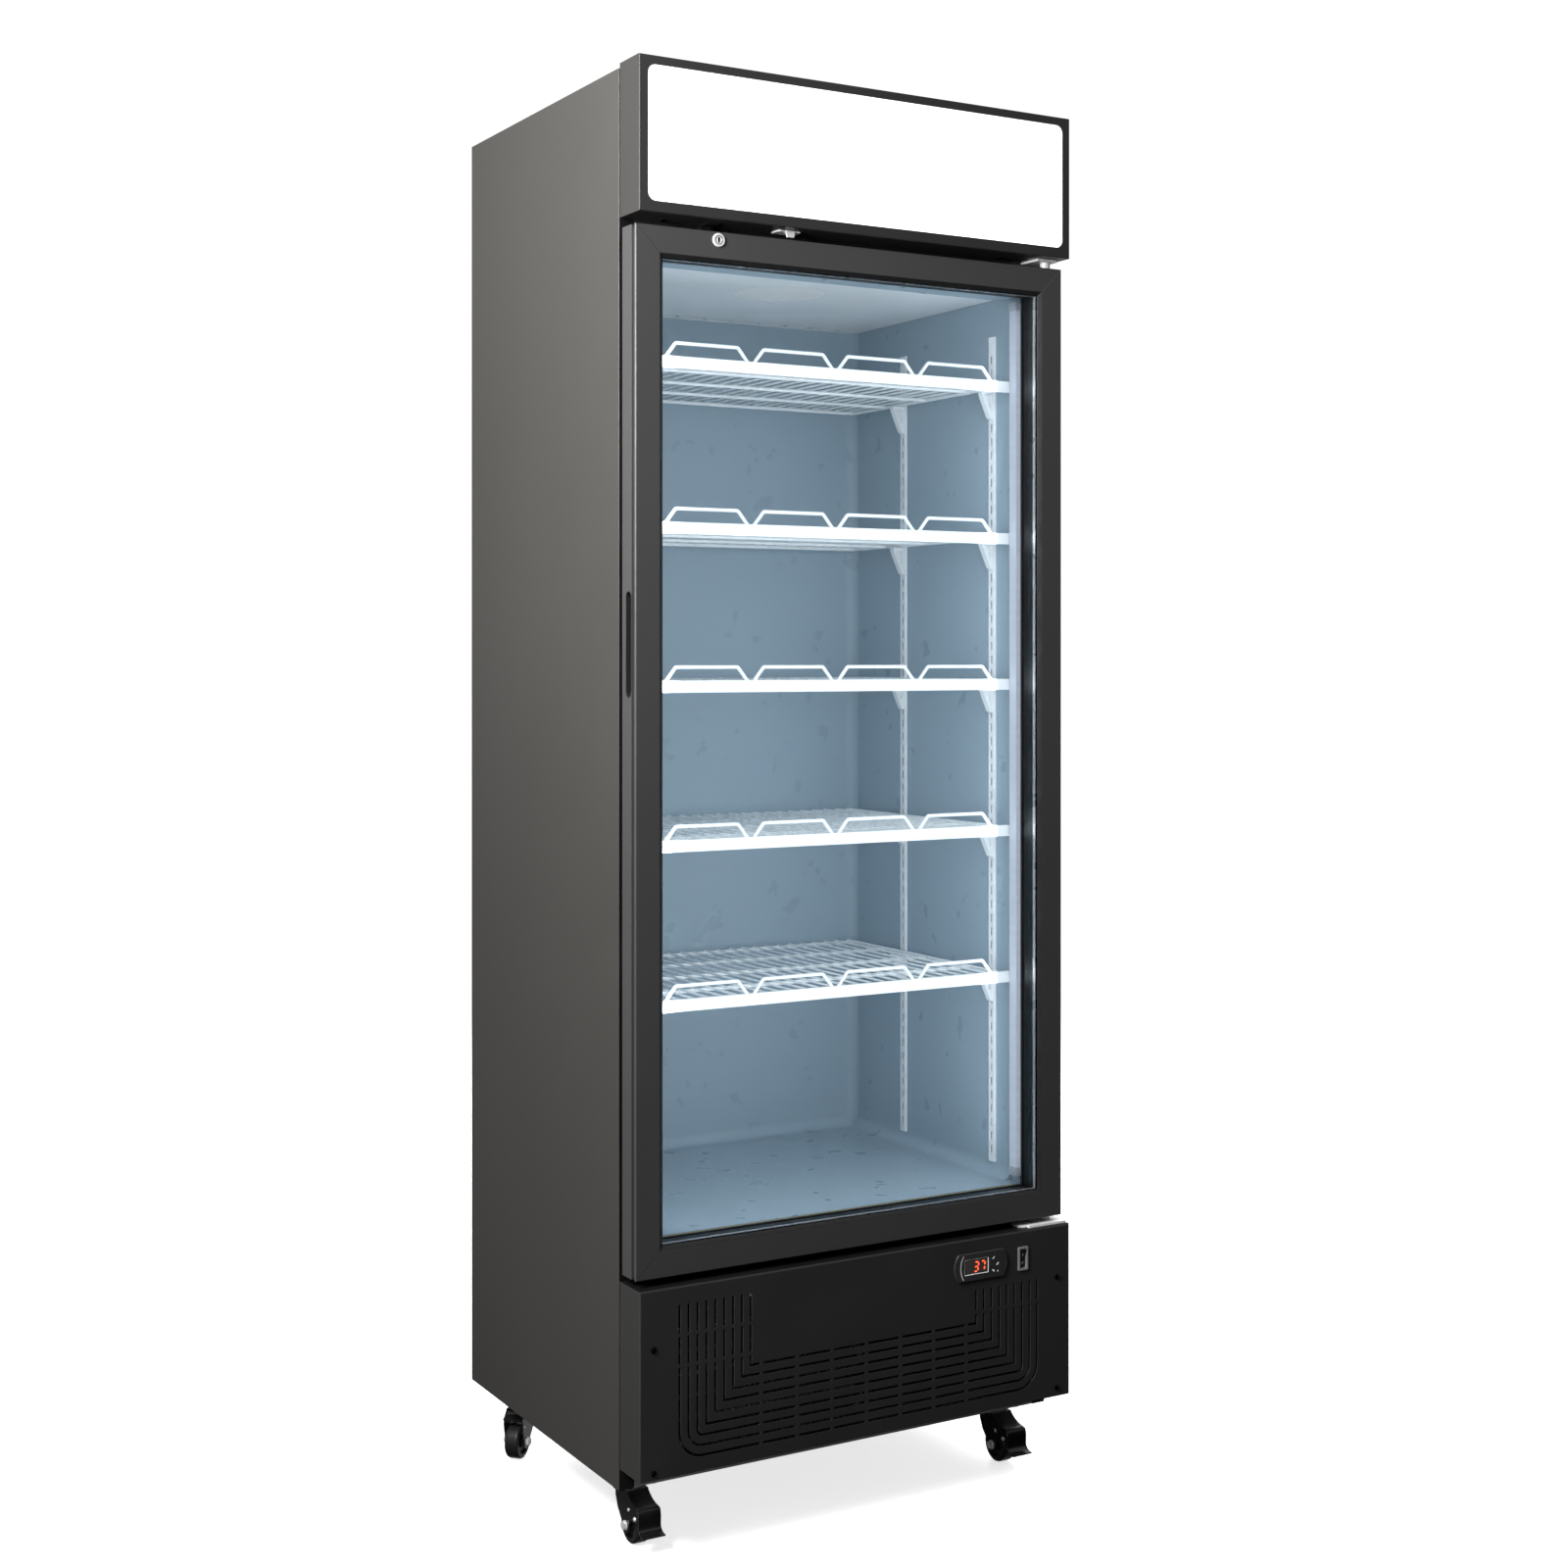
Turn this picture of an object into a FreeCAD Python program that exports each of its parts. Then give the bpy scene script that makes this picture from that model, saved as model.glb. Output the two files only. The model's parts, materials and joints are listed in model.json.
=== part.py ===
import FreeCAD, Part
import math
import os

from FreeCAD import Vector

# Glass door merchandiser: an upright display refrigerator on four casters.
# Frame: millimetres, +Z up, front towards -Y, origin on the floor under the centre.

# ---- driving dimensions ---------------------------------------------------------------
WIDTH = 685.0
DEPTH = 600.0
HEIGHT = 1943.6
BEZEL_PROUD = 3.0                 # thermostat bezel stands this far off the front plane
FRONT_BOX_DEPTH = 60.0            # canopy and grille panel, in front of the cabinet shell
SHELL_DEPTH = 508.0
SHELL_BOTTOM = 91.0
SHELL_TOP = 1938.0
SHEET = 1.0                       # painted steel sheet
SEAM = 0.2                        # gap left between neighbouring sheets

CANOPY_BOTTOM = 1743.2
BASE_BOTTOM = 120.0
BASE_TOP = 363.5

DOOR_BOTTOM = 374.0
DOOR_TOP = 1729.0
DOOR_RIGHT = 336.0
DOOR_FRONT_SETBACK = 11.0         # door face behind the canopy's front plane
DOOR_REAR_SETBACK = 49.7
RAIL = 35.0                       # width of the door frame seen from the front
HINGE_X = 322.0
HINGE_SETBACK = 31.0
HINGE_PIN_RADIUS = 4.0
RUNNING_CLEARANCE = 0.06

INNER_HALF_WIDTH = 300.0
INNER_FLOOR = 414.0
INNER_REAR = 223.0
OPENING_BOTTOM = 412.0
OPENING_TOP = 1692.0
HEADER_REAR = -188.0
CEILING = 1890.0

SHELF_LEVELS = (710.0, 922.0, 1134.0, 1345.0, 1565.0)   # centre of each front lip
SHELF_FRONT = -215.0
SHELF_REAR = 214.0
SHELF_HALF_WIDTH = 294.0
LIP_HEIGHT = 16.0
STANDARD_ROWS = (-166.0, 72.0)    # shelf standards, front and rear
STANDARD_BOTTOM = 432.0
STANDARD_TOP = 1644.0

WHEEL_RADIUS = 25.0
WHEEL_WIDTH = 21.0
CASTER_TRAIL = 20.0
CASTER_TOP = 82.0
CASTER_X = 296.0
CASTER_FRONT_Y = -172.0
CASTER_REAR_Y = 184.0

# ---- derived places -------------------------------------------------------------------
HALF = WIDTH / 2
FRONT = BEZEL_PROUD - DEPTH / 2
SHELL_FRONT = FRONT + FRONT_BOX_DEPTH
SHELL_REAR = SHELL_FRONT + SHELL_DEPTH
REAR = DEPTH / 2
DOOR_LEFT = -HALF
DOOR_FACE = FRONT + DOOR_FRONT_SETBACK
DOOR_BACK = FRONT + DOOR_REAR_SETBACK
HINGE_Y = FRONT + HINGE_SETBACK

# name, x, y, swivel angle at rest (0 = wheel trails towards the front), has a brake
CASTERS = (
    ("front_left", -CASTER_X, CASTER_FRONT_Y, 0.0, True),
    ("front_right", CASTER_X, CASTER_FRONT_Y, 0.0, True),
    ("rear_left", -CASTER_X, CASTER_REAR_Y, -48.0, False),
    ("rear_right", CASTER_X, CASTER_REAR_Y, 152.0, False),
)


# ---- helpers --------------------------------------------------------------------------
def box(x, y, z):
    """Box between two x values, two y values and two z values, in any order."""
    low = Vector(min(x), min(y), min(z))
    return Part.makeBox(abs(x[1] - x[0]), abs(y[1] - y[0]), abs(z[1] - z[0]), low)


def cylinder(radius, start, end):
    """Solid rod from one centre point to another."""
    start, end = Vector(*start), Vector(*end)
    along = end - start
    return Part.makeCylinder(radius, along.Length, start, along)


def cone(radius_start, radius_end, start, end):
    """Truncated cone from one centre point to another."""
    start, end = Vector(*start), Vector(*end)
    along = end - start
    return Part.makeCone(radius_start, radius_end, along.Length, start, along)


def prism(points, sweep):
    """Straight extrusion of a closed polygon."""
    corners = [Vector(*point) for point in points]
    outline = Part.makePolygon(corners + corners[:1])
    return Part.Face(outline).extrude(Vector(*sweep))


def hexagon_rod(across_flats, start, end):
    """Hexagonal prism, a bolt head or nut, from one centre point to another."""
    start, end = Vector(*start), Vector(*end)
    along = end - start
    corners = [Vector(across_flats / math.sqrt(3) * math.cos(math.radians(60 * i)),
                      across_flats / math.sqrt(3) * math.sin(math.radians(60 * i)), 0)
               for i in range(7)]
    rod = Part.Face(Part.makePolygon(corners)).extrude(Vector(0, 0, along.Length))
    rod.Placement = FreeCAD.Placement(start, FreeCAD.Rotation(Vector(0, 0, 1), along))
    return rod


def rounded_plate(x, y, z, radius):
    """Plate lying across Y whose four corners in X and Z are rounded."""
    plate = box(x, y, z)
    upright = [edge for edge in plate.Edges
               if abs(edge.tangentAt(edge.FirstParameter).y) > 0.9]
    return plate.makeFillet(radius, upright)


def fuse(shapes):
    """One clean solid from several that overlap or touch."""
    return shapes[0].multiFuse(list(shapes[1:])).removeSplitter()


def cut(shape, tools):
    """Shape with every tool removed."""
    return shape.cut(Part.makeCompound(list(tools)))


def frame_ring(inset_out, inset_in, y):
    """Rectangular ring in the door's outline, between two insets from its edge."""
    outer = box((DOOR_LEFT + inset_out, DOOR_RIGHT - inset_out), y,
                (DOOR_BOTTOM + inset_out, DOOR_TOP - inset_out))
    inner = box((DOOR_LEFT + inset_in, DOOR_RIGHT - inset_in), (y[0] - 1, y[1] + 1),
                (DOOR_BOTTOM + inset_in, DOOR_TOP - inset_in))
    return outer.cut(inner)


def wire_path(points, radius, bend=0.0):
    """Round wire along straight runs joined by tangent arcs."""
    points = [Vector(*point) for point in points]
    edges = []
    last = points[0]
    for before, corner, after in zip(points, points[1:], points[2:]):
        back = (before - corner).normalize()
        ahead = (after - corner).normalize()
        half_turn = (math.pi - back.getAngle(ahead)) / 2
        reach = bend * math.tan(half_turn)
        start = corner + back * reach
        end = corner + ahead * reach
        bisector = (back + ahead).normalize()
        middle = corner + bisector * (bend / math.cos(half_turn) - bend)
        edges.append(Part.makeLine(last, start))
        edges.append(Part.Arc(start, middle, end).toShape())
        last = end
    edges.append(Part.makeLine(last, points[-1]))
    path = Part.Wire(edges)
    section = Part.Wire(Part.makeCircle(radius, points[0], points[1] - points[0]))
    return path.makePipeShell([section], True, True)


# ---- cabinet shell --------------------------------------------------------------------
FLANGE = 22.0


def side_panel(side):
    """Outer side sheet with a front and a rear flange, side is -1 or 1."""
    outer = side * HALF
    inner = outer - side * SHEET
    tip = outer - side * FLANGE
    flange = (SHELL_BOTTOM, SHELL_TOP - SHEET - SEAM)
    sheet = fuse([
        box((outer, inner), (SHELL_FRONT, SHELL_REAR), (SHELL_BOTTOM, SHELL_TOP)),
        box((outer, tip), (SHELL_FRONT, SHELL_FRONT + SHEET), flange),
        box((outer, tip), (SHELL_REAR - SHEET, SHELL_REAR), flange),
    ])
    corners = [edge for edge in sheet.Edges
               if edge.Length > 1000 and abs(edge.CenterOfMass.x - outer) < 0.01]
    return sheet.makeFillet(SHEET * 0.9, corners)


def top_panel():
    """Roof sheet with a flange turned down at the front and rear."""
    edge = HALF - SHEET - SEAM
    depth = (SHELL_FRONT + SHEET + SEAM, SHELL_REAR - SHEET - SEAM)
    roof = box((-edge, edge), (SHELL_FRONT, SHELL_REAR), (SHELL_TOP - SHEET, SHELL_TOP))
    inner = edge - FLANGE
    lips = [box((-inner, inner), (y, y + SHEET), (SHELL_TOP - 14, SHELL_TOP))
            for y in (depth[0], depth[1] - SHEET)]
    return fuse([roof] + lips)


def rear_panel():
    """Back sheet, louvred over the machine compartment."""
    edge = HALF - FLANGE - SEAM
    sheet = box((-edge, edge), (SHELL_REAR - SHEET, SHELL_REAR),
                (SHELL_BOTTOM + 4, SHELL_TOP - SHEET - 0.5))
    slots = []
    for row in range(12):
        z = 130 + 16 * row
        for start in (-240, 20):
            slots.append(rounded_plate((start, start + 220), (SHELL_REAR - 2, SHELL_REAR + 1),
                                       (z, z + 6), 2.9))
    slots.append(cylinder(8.0, (GLAND_X, SHELL_REAR - 2, GLAND_Z),
                          (GLAND_X, SHELL_REAR + 1, GLAND_Z)))
    return cut(sheet, slots)


def front_frame():
    """Four breaker strips that line the front of the insulated walls."""
    y = (SHELL_FRONT, SHELL_FRONT + 4)
    outer = HALF - FLANGE - SEAM
    top = SHELL_TOP - 15
    strips = [box((side * INNER_HALF_WIDTH, side * outer), y, (BASE_TOP, top))
              for side in (-1, 1)]
    span = (-INNER_HALF_WIDTH, INNER_HALF_WIDTH)
    strips.append(box(span, y, (BASE_TOP, OPENING_BOTTOM)))
    strips.append(box(span, y, (OPENING_TOP, top)))
    return Part.makeCompound(strips)


def inner_liner():
    """Food-side skin: a box open at the front, with a header wall above the opening."""
    skin = 1.0
    front = SHELL_FRONT + 4
    side = INNER_HALF_WIDTH
    hollow = fuse([
        box((-side, side), (front - 1, INNER_REAR), (INNER_FLOOR, OPENING_TOP + 2)),
        box((-side, side), (HEADER_REAR, INNER_REAR), (INNER_FLOOR, CEILING)),
    ])
    outer = fuse([
        box((-side - skin, side + skin), (front, INNER_REAR + skin),
            (INNER_FLOOR - skin, OPENING_TOP + 2 + skin)),
        box((-side - skin, side + skin), (HEADER_REAR - skin, INNER_REAR + skin),
            (INNER_FLOOR - skin, CEILING + skin)),
    ])
    return outer.cut(hollow)


def foam_insulation():
    """Insulation slabs between the liner and the outer sheets."""
    skin = 1.2
    front = SHELL_FRONT + 4.2
    rear = SHELL_REAR - 2 * (SHEET + SEAM)
    bottom = BASE_TOP + 3
    top = SHELL_TOP - SHEET - SEAM
    wall_in = INNER_HALF_WIDTH + skin
    wall_out = HALF - SHEET - SEAM
    slabs = [box((side * wall_in, side * wall_out), (front, rear), (bottom, top))
             for side in (-1, 1)]
    span = (-wall_in + SEAM, wall_in - SEAM)
    back = INNER_REAR + skin
    slabs.append(box(span, (back, rear), (bottom, top)))
    slabs.append(box(span, (front, back - SEAM), (bottom, INNER_FLOOR - skin)))
    slabs.append(box(span, (HEADER_REAR - skin, back - SEAM), (CEILING + skin, top)))
    slabs.append(box(span, (front, HEADER_REAR - skin - SEAM), (OPENING_TOP + 2 + skin, top)))
    return Part.makeCompound(slabs)


def base_frame():
    """Galvanised chassis: floor tray, deck, corner posts and two caster channels."""
    edge = HALF - SHEET - SEAM
    depth = (SHELL_FRONT + SHEET + SEAM, SHELL_REAR - SHEET - SEAM)
    tray_top = SHELL_BOTTOM + 2
    deck = (BASE_TOP, BASE_TOP + 2.5)
    pieces = [box((-edge, edge), depth, (SHELL_BOTTOM, tray_top)),
              box((-edge, edge), (depth[0] + 4, depth[1]), deck),
              box((-edge, edge), (depth[0], depth[0] + 2), (SHELL_BOTTOM, tray_top + 18))]
    for x in (-edge, edge - 25):
        for y in (depth[0] + 4, depth[1] - 25):
            post = box((x, x + 25), (y, y + 25), (tray_top, deck[0]))
            inner_x = (x + 2, x + 26) if x < 0 else (x - 1, x + 23)
            inner_y = (y + 2, y + 26) if y < 0 else (y - 1, y + 23)
            pieces.append(post.cut(box(inner_x, inner_y, (tray_top - 1, deck[0] + 1))))
    for y in (CASTER_FRONT_Y, CASTER_REAR_Y):
        channel = box((-330, 330), (y - 34, y + 34), (CASTER_TOP, SHELL_BOTTOM))
        pieces.append(channel.cut(box((-331, 331), (y - 31, y + 31),
                                      (CASTER_TOP + 3, SHELL_BOTTOM + 1))))
    return fuse(pieces)


# ---- grille panel ---------------------------------------------------------------------
PANEL_SKIN = 1.5
REVEAL = 3.0                      # shadow gap between a front box's skin and the shell
JOGGLE = 2.5                      # depth of that gap


def joggle(skin, z):
    """Inner flange that carries a front box's skin back to the shell, stepped inwards."""
    web = (SHELL_FRONT - 12, SHELL_FRONT - 11)
    tube = (SHELL_FRONT - 12, SHELL_FRONT - SEAM)
    inset = skin + JOGGLE

    def ring(outer, inner, y):
        solid = box((-HALF + outer, HALF - outer), y, (z[0] + outer, z[1] - outer))
        return solid.cut(box((-HALF + inner, HALF - inner), (y[0] - 1, y[1] + 1),
                             (z[0] + inner, z[1] - inner)))

    return fuse([ring(skin, inset + skin, web), ring(inset, inset + skin, tube)])
SLOT_WIDTH = 3.2
SLOT_COUNT = 9
SLOT_PITCH = 13.1
SLOT_OUTER_X = 284.6
SLOT_OUTER_Z = 140.0
SLOT_TOP_LEFT = 339.0
SLOT_TOP_RIGHT = 291.0
SLOT_OUTER_CORNER = 34.0
BRIDGE = 5.0
BRIDGE_PITCH = 54.5
BRIDGE_LEVELS = (260.0, 300.0)
THERMOSTAT_X = (142.0, 231.0)
THERMOSTAT_Z = (305.6, 344.0)
ROCKER_X = (251.0, 268.0)
ROCKER_Z = (308.0, 341.0)
PANEL_SCREWS = ((-322.0, 287.0), (-322.0, 129.0), (320.0, 290.0), (320.0, 132.0))


def slot_spans(start, end, breaks):
    """Stretches of a line between two ends, interrupted by bridges at the breaks."""
    spans = []
    low = start
    for middle in sorted(breaks):
        if low + BRIDGE < middle < end - BRIDGE:
            spans.append((low, middle - BRIDGE / 2))
            low = middle + BRIDGE / 2
    spans.append((low, end))
    return spans


def slot_corner(side, x, z, radius, y):
    """Quarter ring that joins an upright slot to a level one."""
    centre = Vector(x - side * radius, y[0], z + radius)
    depth = y[1] - y[0]
    along = Vector(0, 1, 0)
    ring = Part.makeCylinder(radius + SLOT_WIDTH / 2, depth, centre, along).cut(
        Part.makeCylinder(radius - SLOT_WIDTH / 2, depth, centre, along))
    quarter = box((centre.x, centre.x + side * (radius + SLOT_WIDTH)), y,
                  (centre.z - radius - SLOT_WIDTH, centre.z))
    return ring.common(quarter)


def grille_slots(y):
    """Nested U-shaped air slots, each broken by narrow bridges."""
    tools = []
    half = SLOT_WIDTH / 2
    bridges_x = [BRIDGE_PITCH * k for k in range(-3, 4)]
    for ring in range(SLOT_COUNT):
        x = SLOT_OUTER_X - SLOT_PITCH * ring
        z = SLOT_OUTER_Z + SLOT_PITCH * ring
        radius = max(SLOT_OUTER_CORNER - SLOT_PITCH * ring, 0.0)
        for side, top in ((-1, SLOT_TOP_LEFT), (1, SLOT_TOP_RIGHT)):
            foot = z + radius - (half if radius == 0 else 0)
            for low, high in slot_spans(foot, top, BRIDGE_LEVELS):
                tools.append(box((side * x - half, side * x + half), y, (low, high)))
            if radius > 0:
                tools.append(slot_corner(side, side * x, z, radius, y))
        for low, high in slot_spans(-x + radius, x - radius, bridges_x):
            tools.append(box((low, high), y, (z - half, z + half)))
    return tools


def grille_panel():
    """Removable front panel of the machine compartment, folded from one sheet."""
    body = box((-HALF, HALF), (FRONT, SHELL_FRONT - REVEAL), (BASE_BOTTOM, BASE_TOP))
    rounded = [edge for edge in body.Edges
               if abs(edge.CenterOfMass.y - FRONT) < 0.01
               and (edge.Length < 300 or edge.CenterOfMass.z > 300)]
    body = body.makeFillet(3.0, rounded)
    hollow = box((-HALF + PANEL_SKIN, HALF - PANEL_SKIN),
                 (FRONT + PANEL_SKIN, SHELL_FRONT + 1),
                 (BASE_BOTTOM + PANEL_SKIN, BASE_TOP - PANEL_SKIN))
    through = (FRONT - 1, FRONT + PANEL_SKIN + 1)
    under = box((-HALF + 20, HALF - 20), (FRONT + 16, SHELL_FRONT + 1),
                (BASE_BOTTOM - 1, BASE_BOTTOM + 3))
    tools = [hollow, under]
    tools += grille_slots(through)
    tools.append(box((THERMOSTAT_X[0] + 4, THERMOSTAT_X[1] - 4), through,
                     (THERMOSTAT_Z[0] + 3, THERMOSTAT_Z[1] - 3)))
    tools.append(box((ROCKER_X[0] + 2, ROCKER_X[1] - 2), through,
                     (ROCKER_Z[0] + 2, ROCKER_Z[1] - 2)))
    tools += [cylinder(2.3, (x, through[0], z), (x, through[1], z)) for x, z in PANEL_SCREWS]
    flange = joggle(PANEL_SKIN, (BASE_BOTTOM, BASE_TOP)).cut(under)
    return fuse([cut(body, tools), flange])


def pan_head_screw(x, y, z, length):
    """Cross-recessed pan head screw driven towards +Y, head resting at y."""
    head = Part.makeSphere(6.2, Vector(x, y + 3.4, z))
    head = head.common(cylinder(4.2, (x, y - 3, z), (x, y, z)))
    shank = cylinder(2.1, (x, y - 0.5, z), (x, y + length, z))
    cross = [box((x - 2.4, x + 2.4), (y - 4, y - 1.6), (z - 0.5, z + 0.5)),
             box((x - 0.5, x + 0.5), (y - 4, y - 1.6), (z - 2.4, z + 2.4))]
    return cut(fuse([head, shank]), cross)


def panel_screws():
    """Screws of the grille panel and of the canopy's underside."""
    screws = [pan_head_screw(x, FRONT, z, 10) for x, z in PANEL_SCREWS]
    for x in (-288.0, 250.0):
        screw = pan_head_screw(0, 0, 0, 8)
        screw.rotate(Vector(0, 0, 0), Vector(1, 0, 0), 90)
        screw.translate(Vector(x, SHELL_FRONT - 17, CANOPY_BOTTOM))
        screws.append(screw)
    return Part.makeCompound(screws)


# ---- controls -------------------------------------------------------------------------
BUTTONS = (("up", 207.0, 333.0), ("set", 214.0, 324.0), ("down", 207.0, 315.5))
BUTTON_RADIUS = 2.6
BUTTON_TRAVEL = 0.6
DISPLAY_X = (158.0, 199.0)
DISPLAY_Z = (314.0, 336.0)


LAMP = (214.5, 314.0)
BEZEL_BOW = 6.5                   # the bezel's two ends bow out by this much
GRIP_COUNT = 9
GRIP_PITCH = 3.1


def bezel_outline(inset):
    """Closed wire: straight top and bottom, ends bowed outwards."""
    left, right = THERMOSTAT_X[0] + inset, THERMOSTAT_X[1] - inset
    bottom, top = THERMOSTAT_Z[0], THERMOSTAT_Z[1]
    middle = (bottom + top) / 2
    inner_left, inner_right = left + BEZEL_BOW, right - BEZEL_BOW
    face = FRONT - BEZEL_PROUD
    corners = [Vector(x, face, z) for x, z in
               ((inner_left, bottom), (inner_right, bottom), (inner_right, top), (inner_left, top))]
    edges = [Part.makeLine(corners[0], corners[1]),
             Part.Arc(corners[1], Vector(right, face, middle), corners[2]).toShape(),
             Part.makeLine(corners[2], corners[3]),
             Part.Arc(corners[3], Vector(left, face, middle), corners[0]).toShape()]
    return Part.Face(Part.Wire(edges))


def bezel_grips():
    """Cutters for the short grip grooves that follow both bowed ends."""
    middle = sum(THERMOSTAT_Z) / 2
    reach = (THERMOSTAT_Z[1] - THERMOSTAT_Z[0]) / 2
    face = FRONT - BEZEL_PROUD
    grooves = []
    for row in range(GRIP_COUNT):
        z = middle + (row - (GRIP_COUNT - 1) / 2) * GRIP_PITCH
        bow = BEZEL_BOW * (1 - ((z - middle) / reach) ** 2)
        for end, side in ((THERMOSTAT_X[0] + BEZEL_BOW, -1), (THERMOSTAT_X[1] - BEZEL_BOW, 1)):
            outer = end + side * (bow - 1.8)
            inner = outer - side * 4.0
            grooves.append(box((min(outer, inner), max(outer, inner)), (face - 1, face + 0.6),
                               (z - 0.7, z + 0.7)))
    return grooves


def thermostat_housing():
    """Digital thermostat: bezel outside the panel and electronics box behind it."""
    face = FRONT - BEZEL_PROUD
    bezel = bezel_outline(0.0).extrude(Vector(0, BEZEL_PROUD, 0))
    front_edges = [edge for edge in bezel.Edges
                   if all(abs(vertex.Y - face) < 0.01 for vertex in edge.Vertexes)]
    bezel = bezel.makeFillet(1.0, front_edges)
    trim = bezel_outline(9.0).cut(bezel_outline(10.6)).extrude(Vector(0, 0.8, 0))
    trim = trim.common(box((THERMOSTAT_X[0], 160), (face - 1, face + 2),
                           (THERMOSTAT_Z[0] + 2, THERMOSTAT_Z[1] - 2)))
    case = box((THERMOSTAT_X[0] + 8, THERMOSTAT_X[1] - 8), (FRONT - 0.5, FRONT + 34),
               (THERMOSTAT_Z[0] + 4, THERMOSTAT_Z[1] - 4))
    window = rounded_plate(DISPLAY_X, (face - 1, face + 0.8), DISPLAY_Z, 1.5)
    wells = [cylinder(BUTTON_RADIUS + 0.3, (x, face - 1, z), (x, face + 2.6, z))
             for name, x, z in BUTTONS]
    lamp = cylinder(0.9, (LAMP[0], face - 1, LAMP[1]), (LAMP[0], face + 0.5, LAMP[1]))
    return cut(fuse([bezel, case]), [trim, window, lamp] + wells + bezel_grips())


def thermostat_button(x, z):
    """Small domed key that sinks into its well."""
    face = FRONT - BEZEL_PROUD
    key = cylinder(BUTTON_RADIUS, (x, face + 0.1, z), (x, face + 1.9, z))
    rim = [edge for edge in key.Edges if abs(edge.CenterOfMass.y - face - 0.1) < 0.01]
    return key.makeFillet(0.5, rim)


ROCKER_TILT = 10.0
TRUNNION_RADIUS = 1.2


def rocker_pivot():
    """Centre of the rocker's cross pin."""
    return Vector(sum(ROCKER_X) / 2, FRONT + 4, sum(ROCKER_Z) / 2)


def rocker_housing():
    """Snap-in switch body with a raised frame."""
    rim = rounded_plate(ROCKER_X, (FRONT - 2, FRONT), ROCKER_Z, 1.5)
    well = box((ROCKER_X[0] + 2.2, ROCKER_X[1] - 2.2), (FRONT - 1, FRONT + 22),
               (ROCKER_Z[0] + 2.2, ROCKER_Z[1] - 2.2))
    hollow = box((ROCKER_X[0] + 3, ROCKER_X[1] - 3), (FRONT - 3, FRONT + 12),
                 (ROCKER_Z[0] + 3, ROCKER_Z[1] - 3))
    blades = [box((ROCKER_X[0] + 6, ROCKER_X[0] + 11), (FRONT + 21, FRONT + 30), (z, z + 1))
              for z in (ROCKER_Z[0] + 8, ROCKER_Z[0] + 16, ROCKER_Z[0] + 24)]
    pivot = rocker_pivot()
    bearing = cylinder(TRUNNION_RADIUS + RUNNING_CLEARANCE, (ROCKER_X[0] - 1, pivot.y, pivot.z),
                       (ROCKER_X[1] + 1, pivot.y, pivot.z))
    return fuse([cut(fuse([rim, well]), [hollow, bearing])] + blades)


def rocker():
    """Rocker paddle, stored tilted with its lower half pressed in."""
    pivot = rocker_pivot()
    half_width = (ROCKER_X[1] - ROCKER_X[0]) / 2 - 3.4
    half_height = (ROCKER_Z[1] - ROCKER_Z[0]) / 2 - 4.0
    y = pivot.y
    paddle = prism([(pivot.x - half_width, y - 4.4, pivot.z - half_height),
                    (pivot.x - half_width, y - 3.0, pivot.z),
                    (pivot.x - half_width, y - 4.4, pivot.z + half_height),
                    (pivot.x - half_width, y + 1.0, pivot.z + half_height - 1.5),
                    (pivot.x - half_width, y + 2.5, pivot.z),
                    (pivot.x - half_width, y + 1.0, pivot.z - half_height + 1.5)],
                   (2 * half_width, 0, 0))
    trunnion = cylinder(TRUNNION_RADIUS, (pivot.x - half_width - 0.7, y, pivot.z),
                        (pivot.x + half_width + 0.7, y, pivot.z))
    paddle = fuse([paddle, trunnion])
    paddle.rotate(pivot, Vector(1, 0, 0), ROCKER_TILT)
    return paddle


# ---- canopy ---------------------------------------------------------------------------
CANOPY_WINDOW_X = 330.0
CANOPY_WINDOW_Z = (1757.5, 1932.0)


def canopy_housing():
    """Lit header box: folded sheet with a rounded window in its face."""
    y = (FRONT, SHELL_FRONT - REVEAL)
    body = box((-HALF, HALF), y, (CANOPY_BOTTOM, HEIGHT))
    face_edges = [edge for edge in body.Edges
                  if all(abs(vertex.Y - FRONT) < 0.01 for vertex in edge.Vertexes)]
    body = body.makeFillet(1.5, face_edges)
    hollow = box((-HALF + SHEET, HALF - SHEET), (FRONT + PANEL_SKIN, SHELL_FRONT + 1),
                 (CANOPY_BOTTOM + SHEET, HEIGHT - SHEET))
    window = rounded_plate((-CANOPY_WINDOW_X, CANOPY_WINDOW_X),
                           (FRONT - 1, FRONT + PANEL_SKIN + 1), CANOPY_WINDOW_Z, 11.0)
    holes = [cylinder(2.3, (x, SHELL_FRONT - 17, CANOPY_BOTTOM - 1),
                      (x, SHELL_FRONT - 17, CANOPY_BOTTOM + 3)) for x in (-288.0, 250.0)]
    return fuse([cut(body, [hollow, window] + holes),
                 joggle(SHEET, (CANOPY_BOTTOM, HEIGHT))])


def light_panel():
    """Translucent sign panel behind the canopy's window."""
    return box((-CANOPY_WINDOW_X - 7, CANOPY_WINDOW_X + 7),
               (FRONT + PANEL_SKIN + SEAM, FRONT + PANEL_SKIN + 3),
               (CANOPY_WINDOW_Z[0] - 8, HEIGHT - SHEET - SEAM))


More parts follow.
